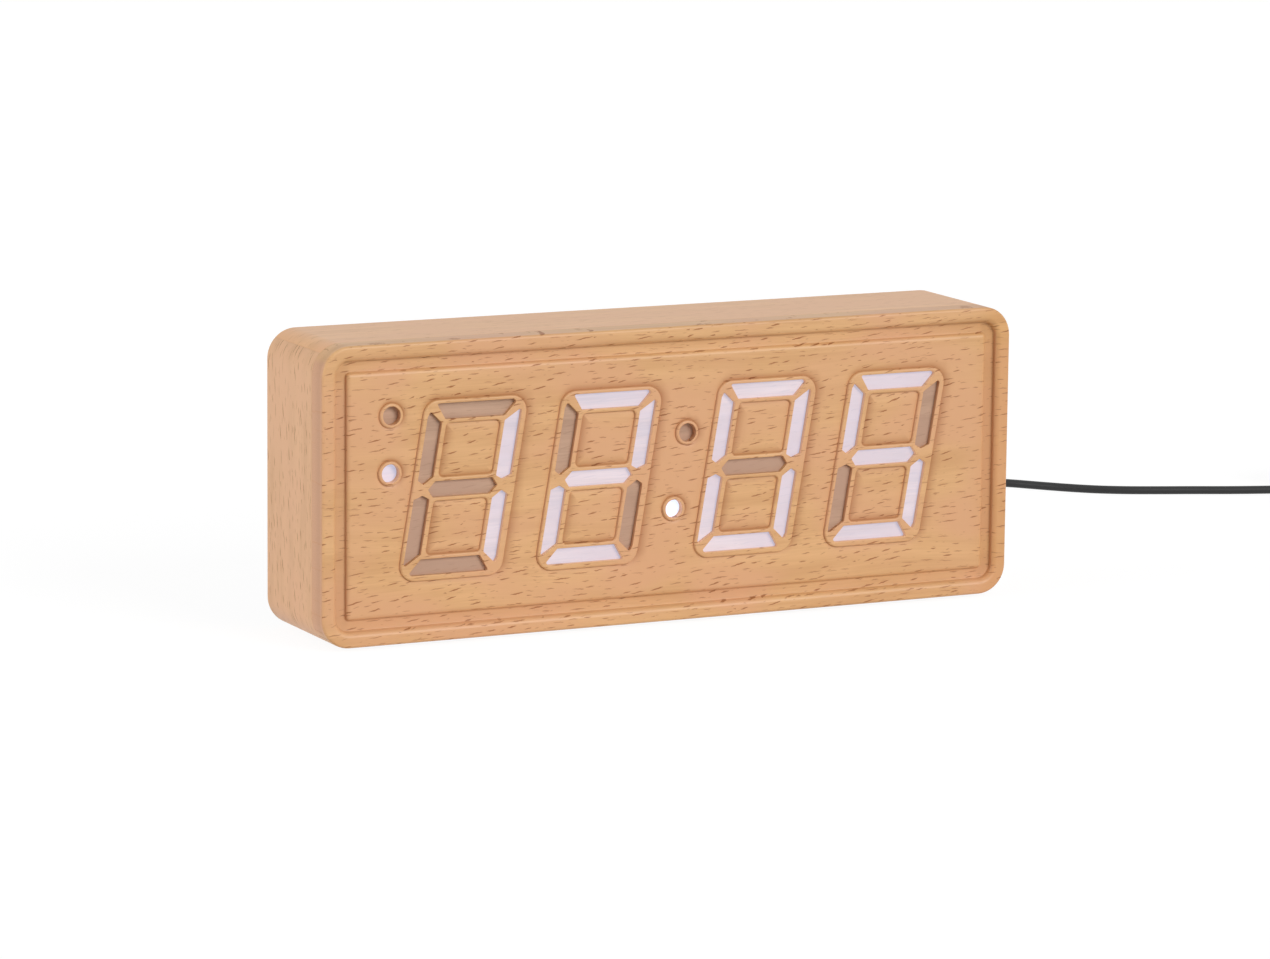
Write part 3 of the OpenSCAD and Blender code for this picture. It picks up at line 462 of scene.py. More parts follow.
def makeBeechGrain(look):
    tree, given, put = makeGroup(
        "beechGrain", {"Vector": "Place", "Color": "Light Dark Warm Fleck", "Float": "Amount Bend"},
        {"Color": "Color", "Float": "Flecks Height"})
    sway = noise(given["Place"], look.sway, detail=1.0, output="Color")
    sway = vectorCalc("MULTIPLY", vectorCalc("SUBTRACT", sway, (0.5, 0.5, 0.5)), look.swayWays)
    place = vectorCalc("ADD", given["Place"], scaled(sway, given["Bend"]))
    ragged = noise(place, look.ragged) * look.raggedReach - look.raggedReach / 2
    flecks = 0.0
    for layer in look.layers:
        cells = vectorCalc("DIVIDE", place, layer.cell)
        voronoi = newNode(tree, "TexVoronoi", {"Vector": cells, "Scale": 1.0, "Randomness": look.cellChance})
        away = vectorCalc("SUBTRACT", cells, wire(voronoi, "Position"))
        along, aside, _ = split(vectorCalc("MULTIPLY", away, layer.cell))
        first, second, third = split(wire(voronoi, "Color"))
        halfLength = first ** 2 * layer.length[1] + layer.length[0]
        halfWidth = second * layer.width[1] + layer.width[0]
        slope = second * layer.lean[1] + layer.lean[0]
        aside = aside - along * slope + ragged
        shape = 1 - abs(along / halfLength) ** 2 - abs(aside) / halfWidth
        present = calc("GREATER_THAN", third, layer.least)
        strength = (second * (1 - look.leastStrength) + look.leastStrength) * layer.depth
        flecks = calc("MAXIMUM", flecks, rise(shape, *look.fleckRise) * present * strength)
    fibre = noise(place, look.fibre, detail=3.0)
    streak = noise(place, look.streak) * look.streakShare
    patch = noise(given["Place"], look.patch, detail=1.0)
    wood = rise(fibre + streak - look.streakShare / 2, 0.0, 1.0)
    wood = blendColors(wood, given["Dark"], given["Light"])
    wood = blendColors(rise(patch, *look.patchRise), wood, given["Warm"])
    mask = flecks * given["Amount"]
    feed(put["Color"], blendColors(mask, wood, given["Fleck"]))
    feed(put["Flecks"], mask)
    feed(put["Height"], fibre * look.fibreHeight - mask)
    return tree


# Moulded, painted and metal surfaces: two scales of noise give the tone, the gloss and the height.
twoScales = named(broad=(0.05, 0.05, 0.05), fineShare=0.6, toneRise=(0.35, 0.65), glossReach=4.0)


def makeFineSurface(look):
    tree, given, put = makeGroup(
        "fineSurface", {"Vector": "Place", "Color": "Color Tint", "Float": "Grain Spread Gloss Change"},
        {"Color": "Color", "Float": "Roughness Height"})
    fine = noise(scaled(given["Place"], given["Grain"]), (1, 1, 1), detail=3.0)
    broad = noise(given["Place"], look.broad)
    both = fine * look.fineShare + broad * (1 - look.fineShare)
    share = rise(both, *look.toneRise) * given["Spread"]
    feed(put["Color"], blendColors(share, given["Color"], given["Tint"]))
    feed(put["Roughness"], (both - 0.5) * given["Change"] * look.glossReach + given["Gloss"])
    feed(put["Height"], fine)
    return tree


beechGrain = makeBeechGrain(beech)
fineSurface = makeFineSurface(twoScales)


# Grain of one wood, in its own colours.
def placeGrain(place, look):
    values = {key.capitalize(): look[key] for key in ("light", "dark", "warm", "fleck", "amount", "bend")}
    return newNode(place.tree, "Group", {"Place": place, **values}, node_tree=beechGrain)


# Oiled beech. On the front board, faces that look along the grain show the end grain, painted shade darkens
# the walls of the groove and the creases, the right end is golden, and lit windows shine on their walls in
# painted light.
def makeWood(name, look):
    material, tree, shader = makeMaterial(name, **{"Specular IOR Level": look.shine})
    place, own, normal = ownPlace(tree, look.turn, look.move)
    grain = placeGrain(place, look)
    color = wire(grain, "Color")
    if "carved" in look:
        cut = blendColors(rise(noise(place, look.endDots), *look.endRise), look.end, look.endDark)
        color = blendColors(rise(abs(split(normal)[0]), *look.endFacing), color, cut)
        x, y, _ = split(own)
        depth = y / mm - frontY
        # Painted shade in the recesses: surfaces deeper than the field are darkened, fully in the side
        # grooves and at three tenths elsewhere.
        recessShadeMask = rise(depth, *look.deepStart) * rise(depth, *look.deepEnd) * rise(abs(x), *look.beside)
        color = blendColors(recessShadeMask, color, look.carved, "MULTIPLY")
        color = blendColors(rise(x, *look.goldStart), color, look.endGold, "MULTIPLY")
        # Painted shade in the creases, from the shade attribute, darkens the colour.
        color = blendColors(attribute(tree, "shade"), color, look.crease, "MULTIPLY")
        # Painted light: the lit windows' glow on their walls, given as emission.
        feed(shader.inputs["Emission Color"], scaled(look.spill, attribute(tree, "spill")))
        feed(shader.inputs["Emission Strength"], 1.0)
    feed(shader.inputs["Base Color"], color)
    feed(shader.inputs["Roughness"], wire(grain, "Flecks") * look.fleckRough + look.rough)
    raiseSurface(shader, wire(grain, "Height"), look.bump, look.bumpDepth)
    return material


woodLook = named(bend=9.0, amount=1.0, fleck=paint(155, 94, 47), rough=0.42, fleckRough=0.15, shine=0.45,
                 bump=0.3, bumpDepth=0.02)
frontLook = named(
    woodLook, turn=(-90, 0, 0), move=(3, 11, 5), light=paint(223, 175, 123), dark=paint(208, 158, 107),
    warm=paint(217, 164, 120), end=paint(213, 160, 121), endDark=paint(204, 151, 111),
    # The tints for the recesses and the creases on the next line are painted shade.
    endGold=(0.97, 0.915, 0.79, 1), carved=(0.90, 0.885, 0.88, 1), crease=(0.66, 0.52, 0.41, 1),
    # The spill is painted light from the lit windows.
    spill=(0.17, 0.125, 0.095), endDots=(0.5, 4.0, 4.0), endRise=(0.3, 0.7), endFacing=(0.80, 0.93),
    deepStart=(0.7, 1.9), deepEnd=(6.0, 2.2), beside=(0.0935, 0.0955, 0.3, 1.0),
    goldStart=(0.090, 0.100))
longLook = named(
    woodLook, turn=(0, 0, 0), move=(40, 7, 3), light=paint(236, 181, 126), dark=paint(222, 166, 112),
    warm=paint(230, 173, 121), amount=0.4, rough=0.38)
shortLook = named(
    woodLook, turn=(0, 90, 0), move=(9, 2, 31), light=paint(228, 179, 134), dark=paint(214, 164, 119),
    warm=paint(226, 175, 132), fleck=paint(166, 112, 68), bend=3.0)


# One moulded, painted or metal finish.
def makeFine(name, color, tint, grain, spread, gloss, change=0.08, bump=0.25, bumpDepth=0.03):
    material, tree, shader = makeMaterial(name, Metallic=float(name in metals))
    surface = newNode(tree, "Group", {
        "Place": ownPlace(tree)[0], "Color": paint(*color), "Tint": paint(*tint), "Grain": grain,
        "Spread": spread, "Gloss": gloss, "Change": change}, node_tree=fineSurface)
    feed(shader.inputs["Base Color"], wire(surface, "Color"))
    feed(shader.inputs["Roughness"], wire(surface, "Roughness"))
    raiseSurface(shader, wire(surface, "Height"), bump, bumpDepth)
    return material


metals = ("screwSteel", "canMetal", "contactMetal")
# Colour, tint, grain, spread of the tint, gloss, and where they aren't the usual ones the change of
# the gloss, the bump and its depth.
fineLooks = {
    "cover_plastic": ((60, 60, 62), (72, 72, 73), 5.0, 0.6, 0.6, 0.1, 0.6, 0.05),
    "black_plastic": ((30, 30, 31), (40, 40, 41), 4.0, 0.5, 0.42),
    "plug_plastic": ((38, 38, 39), (48, 48, 48), 3.0, 0.5, 0.48),
    "tie_plastic": ((62, 62, 63), (76, 76, 76), 3.0, 0.5, 0.6),
    "white_plastic": ((240, 240, 236), (229, 228, 221), 2.0, 0.5, 0.4),
    "foot_rubber": ((66, 66, 67), (80, 79, 77), 3.0, 0.6, 0.8, 0.1, 0.5, 0.06),
    "led_resin": ((244, 240, 205), (236, 226, 170), 2.0, 0.5, 0.3),
    "chip_resin": ((42, 42, 44), (54, 54, 55), 6.0, 0.5, 0.6),
    "switch_plastic": ((60, 60, 62), (72, 72, 72), 4.0, 0.5, 0.5),
    "header_plastic": ((38, 38, 38), (48, 48, 48), 4.0, 0.5, 0.5),
    "block_wood": ((226, 196, 150), (209, 174, 126), 0.8, 0.8, 0.75, 0.1, 0.4, 0.1),
    "circuit_board": ((22, 92, 58), (30, 112, 70), 0.7, 0.8, 0.35, 0.05),
    "screw_steel": ((205, 206, 208), (184, 186, 190), 2.0, 0.6, 0.32),
    "can_metal": ((212, 211, 206), (196, 195, 190), 2.0, 0.6, 0.25, 0.06),
    "contact_metal": ((226, 190, 112), (205, 168, 92), 2.0, 0.6, 0.28, 0.06),
    "cord_jacket": ((14, 14, 15), (21, 21, 22), 1.5, 0.5, 0.46, 0.06, 0.15, 0.02),
}
materials = {slot: makeFine(camel(slot), *look) for slot, look in fineLooks.items()}
materials["beech_front"] = makeWood("beechFront", frontLook)
beechBoards = makeWood("beechLong", longLook), makeWood("beechShort", shortLook)
print("materials made")


# Cord: one tube from the strain relief along the table, round the coil and on to the far plug.
# The route's points are listed, and the tube follows a smooth curve through them. The tail's
# points are (along, up) from its start.
cord = named(
    diameter=2.5, sides=20, lead=2.2, turns=11.23, layers=4, pitch=2.7, coilRadius=12.5, coilSteps=36,
    route=((67.5, 52, 29), (67.5, 57, 29), (67.5, 62, 28.6), (67.7, 68, 27.2), (68.3, 74, 24.8),
           (69.4, 80, 21.4), (71, 86, 17.4), (73.2, 92, 13), (76.2, 98, 8.8), (80, 104, 5.4),
           (84.6, 110, 3), (90, 116, 1.8), (96, 122, 1.35), (103, 128, 1.35), (111, 134, 1.35),
           (120, 140, 1.35), (130, 145, 1.35), (141, 148.5, 1.35), (152, 149.5, 1.35), (163, 148, 1.35),
           (173, 144, 1.35), (182, 138.5, 1.35), (190.5, 131, 1.35), (197, 123.6, 1.35), (203, 117, 1.35),
           (209.5, 111.2, 1.35), (217, 106.6, 1.35), (226, 102.6, 1.35), (236, 98.6, 1.35),
           (246, 94.4, 1.35), (256, 90.2, 1.45), (265, 86.4, 1.65), (272, 83.4, 1.8), (279, 80.4, 1.85)),
    tail=((0, 0), (3, 0), (6, -0.6), (9, -1.8), (12, -3.4), (15, -4.8), (18, -5.75), (21, -5.95),
          (24, -5.95)), routeSteps=6, tailSteps=4)


# Catmull-Rom curve: between two points the weights are cubics of the way from one to the other.
def smoothRoute(route, steps):
    p = np.asarray(route, float)
    p = np.concatenate([p[:1], p, p[-1:]])
    t = np.linspace(0, 1, steps, endpoint=False)[None, :, None]
    a, b, c, d = p[:-3, None], p[1:-2, None], p[2:-1, None], p[3:, None]
    curve = (2 * b + (c - a) * t + (2 * a - 5 * b + 4 * c - d) * t ** 2
             + (3 * b - a - 3 * c + d) * t ** 3) / 2
    return np.concatenate([curve.reshape(-1, 3), p[-1:]])


# Coil: after t turns the radius has gone in by a pitch for each turn in even layers and out again in
# odd ones, and the height has gone up a pitch in the half turn round each reversal.
def coilPath(look, start, heading):
    pitch = look.pitch
    layerTurns = look.turns / look.layers
    outerRadius = look.coilRadius + layerTurns * pitch / 2
    middle = start + outerRadius * np.array([-math.sin(heading), math.cos(heading), 0])
    t = np.linspace(0, look.turns, round(look.turns * look.coilSteps) + 1)
    layer = np.floor(t / layerTurns)
    rest = t - layer * layerTurns
    inwards = np.where(layer % 2 == 0, rest, layerTurns - rest)
    reversal = np.clip(np.round(t / layerTurns), 1, look.layers - 1)
    climbed = reversal - 1 + smoothStep(2 * (t - reversal * layerTurns) + 0.5)
    radius = outerRadius - inwards * pitch
    angle = heading - math.pi / 2 + 2 * math.pi * t
    around = np.stack([radius * np.cos(angle), radius * np.sin(angle), climbed * pitch], 1)
    return middle + around, middle


# Tube: at each point of the path a ring of the given radius stands square to the path. A UV map gives
# the length along the path and the way round.
def makeTube(name, path, radius, sides, slot, nodes):
    ahead = unitRows(np.gradient(path, axis=0))
    across = unitRows(np.cross(ahead, [0, 0, 1]))
    upward = np.cross(across, ahead)
    angle = np.arange(sides) * 2 * math.pi / sides
    around = across[:, None] * np.cos(angle)[:, None] + upward[:, None] * np.sin(angle)[:, None]
    points, faces = loft(path[:, None] + radius * around)
    last = len(points) - sides
    faces = [face[::-1] for face in faces]
    faces += [list(range(sides)), list(range(last + sides - 1, last - 1, -1))]
    mesh = bpy.data.meshes.new(name)
    mesh.from_pydata((points * mm).tolist(), [], faces)
    length = np.concatenate([[0], np.cumsum(np.linalg.norm(np.diff(path, axis=0), axis=1))])
    corner = np.zeros(len(mesh.loops), np.int32)
    mesh.loops.foreach_get("vertex_index", corner)
    spot = np.stack([length[corner // sides] * mm, (corner % sides) / sides], 1)
    mesh.uv_layers.new(name="length").data.foreach_set("uv", spot.astype(np.float32).ravel())
    return finishPiece(name, mesh, materials[slot], "clock", slot, nodes, sharp=60)


# Level direction of a heading.
def levelWay(heading):
    return np.array([math.cos(heading), math.sin(heading), 0])


cordEnd = np.array(cord.route[-1], float)
lastStep = cordEnd - cord.route[-2]
coilHeading = math.atan2(lastStep[1], lastStep[0])
coilRings, coilMiddle = coilPath(cord, cordEnd + cord.lead * levelWay(coilHeading), coilHeading)
tailWay = levelWay(coilHeading + 2 * math.pi * cord.turns)
tailStart = coilRings[-1] + cord.lead * tailWay
tailCurve = smoothRoute([tailStart + along * tailWay + [0, 0, up] for along, up in cord.tail],
                        cord.tailSteps)
cordPath = np.concatenate([smoothRoute(cord.route, cord.routeSteps), coilRings, tailCurve])
cordPiece = makeTube("cord", cordPath, cord.diameter / 2, cord.sides, "cord_jacket",
                     ["cord_run", "cord_coil", "cord_tail"])


# Carved front board. Depths are measured from its flat border.
carving = named(
    cornerRadius=8.0, edge=0.8, joint=0.06, borderFlat=2.6, grooveStart=4.25, grooveEnd=7.15,
    grooveDepth=2.0, shoulder=1.3, grooveCorner=1.2, foot=0.25, fieldDepth=0.6, ridgeOut=1.7,
    ridgeIn=1.5, ridgeCorner=4.8, ridgeShift=(0.35, -0.25), panelCorner=0.8, panelLeft=0.4,
    ringWidth=1.3, windowCorner=0.4, windowEdge=0.15, windowDepth=3.0, moatDepth=0.2, moatWidth=2.6,
    dotMoatWidth=1.3, wallStart=-0.9, wallEnd=-0.37,
    spacing=1.3, inset=(0.5, 0.4), apart=0.45, bands=(0.4, 0.9, 1.5),
    ringBands=(0.35, 0.8), panelSpacing=1.6, panelApart=0.5, panelBands=(0.4, 0.9, 1.5, 2.3),
    pocketGap=0.3, pocketCorner=0.5, screwHead=2.3, screwHole=1.25, screwDepth=3.0)
digits = named(
    middles=(-62.4, -22.7, 23.9, 63.6), height=45.5, width=27.4, middleZ=41.7, stroke=4.3, slant=9.5,
    shown=("bc", "abged", "abcdef", "afgcd"), order="afbgdce", dotRadius=2.5,
    dots=((-82.8, 62.0), (-83.1, 46.7), (3.6, 52.1), (-0.2, 31.6)), dotsLit=(0.0, 1.2, 0.0, 2.4))
# A corner is (side, strokes from it, height, strokes from it), with the side and the height as shares
# of the digit's. The lower half is the upper one turned round.
windowCorners = {
    "top": [[0, 0.56, 1, 0], [1, -0.66, 1, 0], [1, -0.46, 1, -0.17], [1, -1.1, 1, -1], [0, 1.3, 1, -1]],
    "upperLeft": [[0, 0.22, 1, -0.47], [0, 1.09, 1, -1.2], [0, 1.09, 0.5, 0.78],
                  [0, 0.5, 0.5, 0.32], [0, 0.08, 0.5, 0.6], [0, 0.08, 1, -0.8]],
    "upperRight": [[1, -0.1, 1, -0.62], [1, 0, 1, -0.77], [1, 0, 0.5, 0.57],
                   [1, -0.55, 0.5, 0.34], [1, -1.05, 0.5, 0.6], [1, -1.05, 1, -1.3]],
    "middle": [[0, 0.86, 0.5, 0], [0, 1.26, 0.5, 0.5], [1, -1.26, 0.5, 0.5],
               [1, -0.86, 0.5, 0], [1, -1.26, 0.5, -0.5], [0, 1.26, 0.5, -0.5]],
    "panel": [[0, 1.09, 0.5, 0.5], [1, -1.05, 0.5, 0.5], [1, -1.05, 1, -1], [0, 1.09, 1, -1]],
}
size = np.array([digits.width, digits.height])


# Corner: its shares times the digit's size, plus its strokes times the width of a stroke.
def digitShape(name):
    share = np.array(windowCorners[name], float)
    return share[:, [0, 2]] * size + share[:, [1, 3]] * digits.stroke


# Shapes of an upright digit, leaned about its middle and moved to each digit's place.
def inDigits(shapes):
    lean = np.array([[1, 0], [math.tan(math.radians(digits.slant)), 1]])
    return [(shape - size / 2) @ lean + [x, digits.middleZ] for x in digits.middles for shape in shapes]


upperShapes = [digitShape(name) for name in ("top", "upperLeft", "upperRight")]
windows = inDigits(upperShapes + [digitShape("middle")] + [size - shape for shape in upperShapes])
ridges = inDigits([rectangle(*(size + 2 * carving.ridgeOut)) + size / 2 + carving.ridgeShift])
panelShape = digitShape("panel")
panelShape = panelShape + np.sign(panelShape.mean(0) - panelShape) * carving.ridgeIn
panels = inDigits([shape + (shape < shape.mean(0)) * [carving.panelLeft, 0]
                   for shape in (panelShape, size - panelShape)])
openings = [rounded(corners, carving.windowCorner, steps=5, pieces=3) for corners in windows]
openings += [circle(dot, digits.dotRadius) for dot in digits.dots]
ridgeLines = [rounded(corners, carving.ridgeCorner, steps=10, pieces=34) for corners in ridges]
ringLines = [circle(dot, digits.dotRadius + carving.ringWidth) for dot in digits.dots]
panelLines = [rounded(corners, carving.panelCorner, steps=5, pieces=12) for corners in panels]
lights = [float(letter in shown) for shown in digits.shown for letter in digits.order]
lights += digits.dotsLit


# Depth of the field: level, and sinking by the square of the way left to the foot of a ridge.
def moat(distance, width):
    return carving.moatDepth * np.clip(1 - distance / width, 0, 1) ** 2


# The field takes the deepest of the hollows along its ridges and rings, and a panel has its own.
def fieldDepthAt(points):
    depth = np.zeros(len(points))
    for corners in ridges:
        foot = rounded(corners, carving.ridgeCorner)(carving.wallEnd)
        depth = np.maximum(depth, moat(nearestOn(points, foot)[0], carving.moatWidth))
    for dot in digits.dots:
        foot = digits.dotRadius + carving.ringWidth + carving.wallEnd
        near = np.abs(np.linalg.norm(points - dot, axis=1) - foot)
        depth = np.maximum(depth, moat(near, carving.dotMoatWidth))
    return frontY + carving.fieldDepth + depth


def panelDepthAt(corners):
    foot = rounded(corners, carving.panelCorner)(-carving.wallEnd)
    return lambda points: (frontY + carving.fieldDepth
                           + moat(nearestOn(points, foot)[0], carving.moatWidth))


# Painted shade in the creases: the wood is darkened, deepest at the foot and gone at its reach. The depth
# and the reach depend on the way the crease looks, as light falls: each direction counts by the square of
# its share.
paintedCreaseShade = named(
    right=(1.0, 3.2), left=(0.05, 0.9), up=(0.75, 2.3), down=(0.3, 1.2), wall=0.45, power=1.5,
    dotShare=0.6, near=3, foot=0.02, deepest=1.5)


# The shade falls from a foot with a power of the way to its reach, and the darkest crease holds.
def creaseShade(places, look):
    points = places[:, [0, 2]]
    shade = np.zeros(len(points))
    ways = np.array([look[name] for name in ("right", "left", "up", "down")])
    end = carving.wallEnd
    feet = [(lineAt(end), 1, 1) for lineAt in ridgeLines] + [(lineAt(-end), -1, 1) for lineAt in panelLines]
    feet += [(lineAt(end), 1, look.dotShare) for lineAt in ringLines]
    for line, side, share in feet:
        low, high = line.min(0) - look.near, line.max(0) + look.near
        close = np.flatnonzero(np.all((points > low) & (points < high), axis=1))
        far, outward = nearestOn(points[close], line)
        way = outward * side
        shares = np.stack([way[:, 0], -way[:, 0], way[:, 1], -way[:, 1]], 1).clip(0) ** 2
        depth, reach = (shares @ ways).T
        onWall = (isWithin(points[close], [line]) == (side > 0)) & (far > look.foot)
        reach = np.where(onWall, look.wall, reach * share)
        fade = np.clip(1 - far / reach, 0, 1) ** look.power
        shade[close] = np.maximum(shade[close], depth * fade)
    return shade * (places[:, 1] < frontY + look.deepest)


# Painted light from a lit window: a glow on the walls of its opening, just behind the rim.
def windowSpill(places, margin=0.1, out=0.05):
    depth = places[:, 1] - frontY
    spill = sum(isWithin(places[:, [0, 2]], [lineAt(out)]) * min(light, 1.0)
                for lineAt, light in zip(openings, lights))
    return spill * (depth > margin) * (depth < carving.windowDepth - margin)


# Wall of a ridge: it leaves the flat top in a quarter of an ellipse and meets the foot steeply.
def ridgeWall(lineAt, depthAt, way=1):
    start, end = way * carving.wallStart, way * carving.wallEnd
    return loft(rowsOf(lineAt, quarter((start, frontY), (end, depthAt(lineAt(end))), steps=7)))


# Middles of four equal heads that lie in the corners of a node's box.
def cornerPlaces(name, radius):
    low, high = nodeBox(name)[:, [0, 2]] + [[radius], [-radius]]
    return [np.array([x, z]) for x in (low[0], high[0]) for z in (low[1], high[1])]


# One profile of (out, y) runs from the back over the edge and through the groove to the field. Level
# and hollow sheets close the field, the ridges, the panels, the pocket and the back.
def makeFrontBoard(look):
    borderLine = rounded(nodeFace("front_board"), look.cornerRadius, steps=12, pieces=40)
    fieldLine = rounded(nodeFace("front_board", -look.grooveEnd), look.grooveCorner, steps=12, pieces=40,
                        leastRadius=0.3)
    joint, end, top = look.joint, look.wallEnd, look.wallStart
    floorY, fieldY = frontY + look.grooveDepth, frontY + look.fieldDepth
    # Edge and outer wall of the groove, then its inner wall, measured from the inner one's foot
    outside = [(-joint, boardBack), (0, boardBack - joint)] + roundedEdge(0, frontY, -look.edge, steps=6)
    outside += quarter((-look.borderFlat, frontY), (-look.grooveStart, floorY - look.foot), steps=9)
    outside.append((-look.grooveStart - look.foot, floorY))
    inside = [(look.foot, floorY)]
    inside += quarter((-look.shoulder, fieldY), (0, floorY - look.foot), steps=9)[::-1]
    parts = [loft(rowsOf(borderLine, outside) + rowsOf(fieldLine, inside))]
    # Field with its ridges and rings
    border = fieldLine(-look.shoulder)
    feet = [lineAt(end) for lineAt in ridgeLines + ringLines]
    bands = [lineAt(end + out) for lineAt in ridgeLines for out in look.bands]
    bands += [lineAt(end + out) for lineAt in ringLines for out in look.ringBands]
    low, high = border.min(0) + look.inset[0], border.max(0) - look.inset[1]
    loose = scattered(low, high, look.spacing, [border] + feet + bands, look.apart)
    loose = loose[~isWithin(loose, ridges)]
    parts.append(sheetInside([border] + feet, fieldDepthAt, [loose] + bands))
    parts += [ridgeWall(lineAt, fieldDepthAt) for lineAt in ridgeLines + ringLines]
    for corners, lineAt in zip(panels, panelLines):
        depthAt = panelDepthAt(corners)
        foot = lineAt(-end)
        bands = [lineAt(-end - out) for out in look.panelBands]
        loose = scattered(foot.min(0), foot.max(0), look.panelSpacing, [foot] + bands, look.panelApart)
        loose = loose[isWithin(loose, [corners])]
        parts += [ridgeWall(lineAt, depthAt, -1), sheetInside([foot], depthAt, bands + [loose])]
    rims = [lineAt(look.windowEdge) for lineAt in openings]
    for i, lineAt in enumerate(ridgeLines):
        holes = [panelAt(-top) for panelAt in panelLines[2 * i:2 * i + 2]] + rims[7 * i:7 * i + 7]
        parts.append(sheetInside([lineAt(top)] + holes, frontY))
    parts += [sheetInside([lineAt(top), rim], frontY) for lineAt, rim in zip(ringLines, rims[len(windows):])]
    # Openings, the pocket behind them and the back face
    pocketY = frontY + look.windowDepth
    parts += [holeWall(lineAt, frontY, pocketY, look.windowEdge) for lineAt in openings]
    pocket = rounded(nodeFace("window_veneer", look.pocketGap), look.pocketCorner, steps=3)()
    screws = [circle(place, look.screwHole, steps=20)()
              for place in cornerPlaces("light_box_screws", look.screwHead)]
    parts += [sheetInside([pocket] + [lineAt() for lineAt in openings], pocketY),
              drilled(pocket, pocketY, boardBack),
              sheetInside([borderLine(-joint), pocket] + screws, boardBack)]
    for line in screws:
        parts += pit(line, boardBack, boardBack - look.screwDepth)
    mesh = makePiece("front_board", parts, "beech_front", sharp=50).data
    places = np.empty(len(mesh.vertices) * 3, np.float32)
    mesh.vertices.foreach_get("co", places)
    places = places.reshape(-1, 3) / mm
    for name, values in (("shade", creaseShade(places, paintedCreaseShade)), ("spill", windowSpill(places))):
        mesh.attributes.new(name, "FLOAT", "POINT").data.foreach_set("value", values.astype(np.float32))


makeFrontBoard(carving)
print("front board carved")


# Veneer behind the windows. Where the segments behind it are lit, a painted glow stands for their light
# shining through.
veneerLook = named(
    paneDepth=1.2, dotDepth=2.0, shrink=-0.02, glow=(0.25, 0.34, 0.49), light=paint(198, 163, 137),
    dark=paint(169, 136, 112), warm=paint(184, 148, 125), fleck=paint(155, 120, 96), amount=0.35,
    bend=4.0, rough=0.55, turn=(-90, 0, 0), move=(71, 23, 9), cloud=(0.06, 0.5, 0.5),
    cloudRise=(0.25, 0.75), cloudShares=(0.96, 1.04))


def makeVeneerMaterial(look):
    material, tree, shader = makeMaterial("veneer", **{"Emission Strength": 1.0, "Roughness": look.rough})
    place = ownPlace(tree, look.turn, look.move)[0]
    feed(shader.inputs["Base Color"], wire(placeGrain(place, look), "Color"))
    # Painted glow of the lit segments, uneven in soft cloudy patches.
    cloud = rise(noise(place, look.cloud), *look.cloudRise, *look.cloudShares)
    feed(shader.inputs["Emission Color"], scaled(look.glow, attribute(tree, "lit") * cloud))
    return material


# The veneer is pressed forward into each window, where it lies close under the face.
def makeVeneer(look):
    frontOf, backOf = nodeBox("window_veneer")[:, 1]
    line = nodeFace("window_veneer")
    holes = [lineAt(look.shrink) for lineAt in openings]
    depths = [look.paneDepth] * len(windows) + [look.dotDepth] * len(digits.dots)
    parts = [sheetInside([line] + holes, frontOf)] + pit(line, frontOf, backOf)
    glows = [0.0] * len(parts)
    for hole, light, depth in zip(holes, lights, depths):
        parts += [drilled(hole, frontOf, frontY + depth), sheetInside([hole], frontY + depth)]
        glows += [light, light]
    lit = np.repeat(glows, [len(faces) for _, faces in parts]).astype(np.float32)
    makePiece("window_veneer", parts, "veneer", material=makeVeneerMaterial(look), lit=lit)


makeVeneer(veneerLook)
print("veneer laid")


# Case boards: one closed profile of (out, y) runs along each side of the case from mitre to mitre.
case = named(
    wall=7.5, rebate=3.0, backEdge=0.7, jointEdge=0.06, innerEdge=0.2, innerCorner=0.3, innerLeast=0.2,
    mitreGap=0.02, steps=16, pieces=30)


def makeCaseBoards(look):
    backY = nodeBox("case_top")[1][1]
    joint, small, wall = look.jointEdge, look.innerEdge, look.wall
    rebate = wall - look.rebate
    outer = [(-joint, boardBack), (0, boardBack + joint)] + roundedEdge(0, backY, look.backEdge, steps=6)
    inner = [(small - rebate, backY), (-rebate, backY - small), (-rebate, coverIn), (-wall, coverIn),
             (-wall, boardBack)]
    face, cuts = nodeFace("front_board"), (look.steps, look.pieces)
    rows = rowsOf(rounded(face, carving.cornerRadius, *cuts), outer)
    rows += rowsOf(rounded(face, look.innerCorner, *cuts, look.innerLeast), inner)
    grid = np.asarray(rows)
    count = sum(cuts)
    for side, name in enumerate(("case_bottom", "case_right", "case_top", "case_left")):
        chosen = (side * count + look.steps // 2 + np.arange(count + 1)) % grid.shape[1]
        board = np.swapaxes(grid[:, chosen], 0, 1).copy()
        for last, beside in ((0, 1), (-1, -2)):
            board[last] += unitRows(board[beside] - board[last]) * look.mitreGap
        makePiece(name, solid(board), "beech_case", material=beechBoards[side % 2], sharp=35)


makeCaseBoards(case)
print("case boards joined")


# Rear cover: a plate with every opening of the back, and hollow posts for the board's screws.
cover = named(
    corner=1.5, edge=0.4, inEdge=0.1, holeEdge=0.15, run=0.08, keyHole=4.0, soundHole=0.8, soundRing=3.2,
    soundHoles=6, postRadius=3.2, postBore=1.25, postScrew=2.2, boreEnd=1.5, screwHole=1.75,
    screwHead=2.8, headRadius=2.85, headEdge=0.1, cone=1.35, doorStep=1.2, neckInset=1.55,
    notchReach=1.38, notchAngle=34, notchTurn=40, jackHole=3.7, slotSize=(6.3, 3.9), slotMiddle=7.0,
    slotCorner=0.3, markRise=0.35, markSunk=0.1, markUp=7.6, ringRadii=(1.5, 1.0),
    arrow=((-1.5, -1.1), (1.5, -1.1), (0, 1.5)), arrowCorner=0.3)
buttonPlaces = [nodeMiddle("button_" + name) for name in ("set", "up", "down")]
doorPlace = nodeMiddle("battery_door")
jackPlace = nodeMiddle("dc_jack")
screwPlaces = cornerPlaces("cover_screws", cover.screwHead)


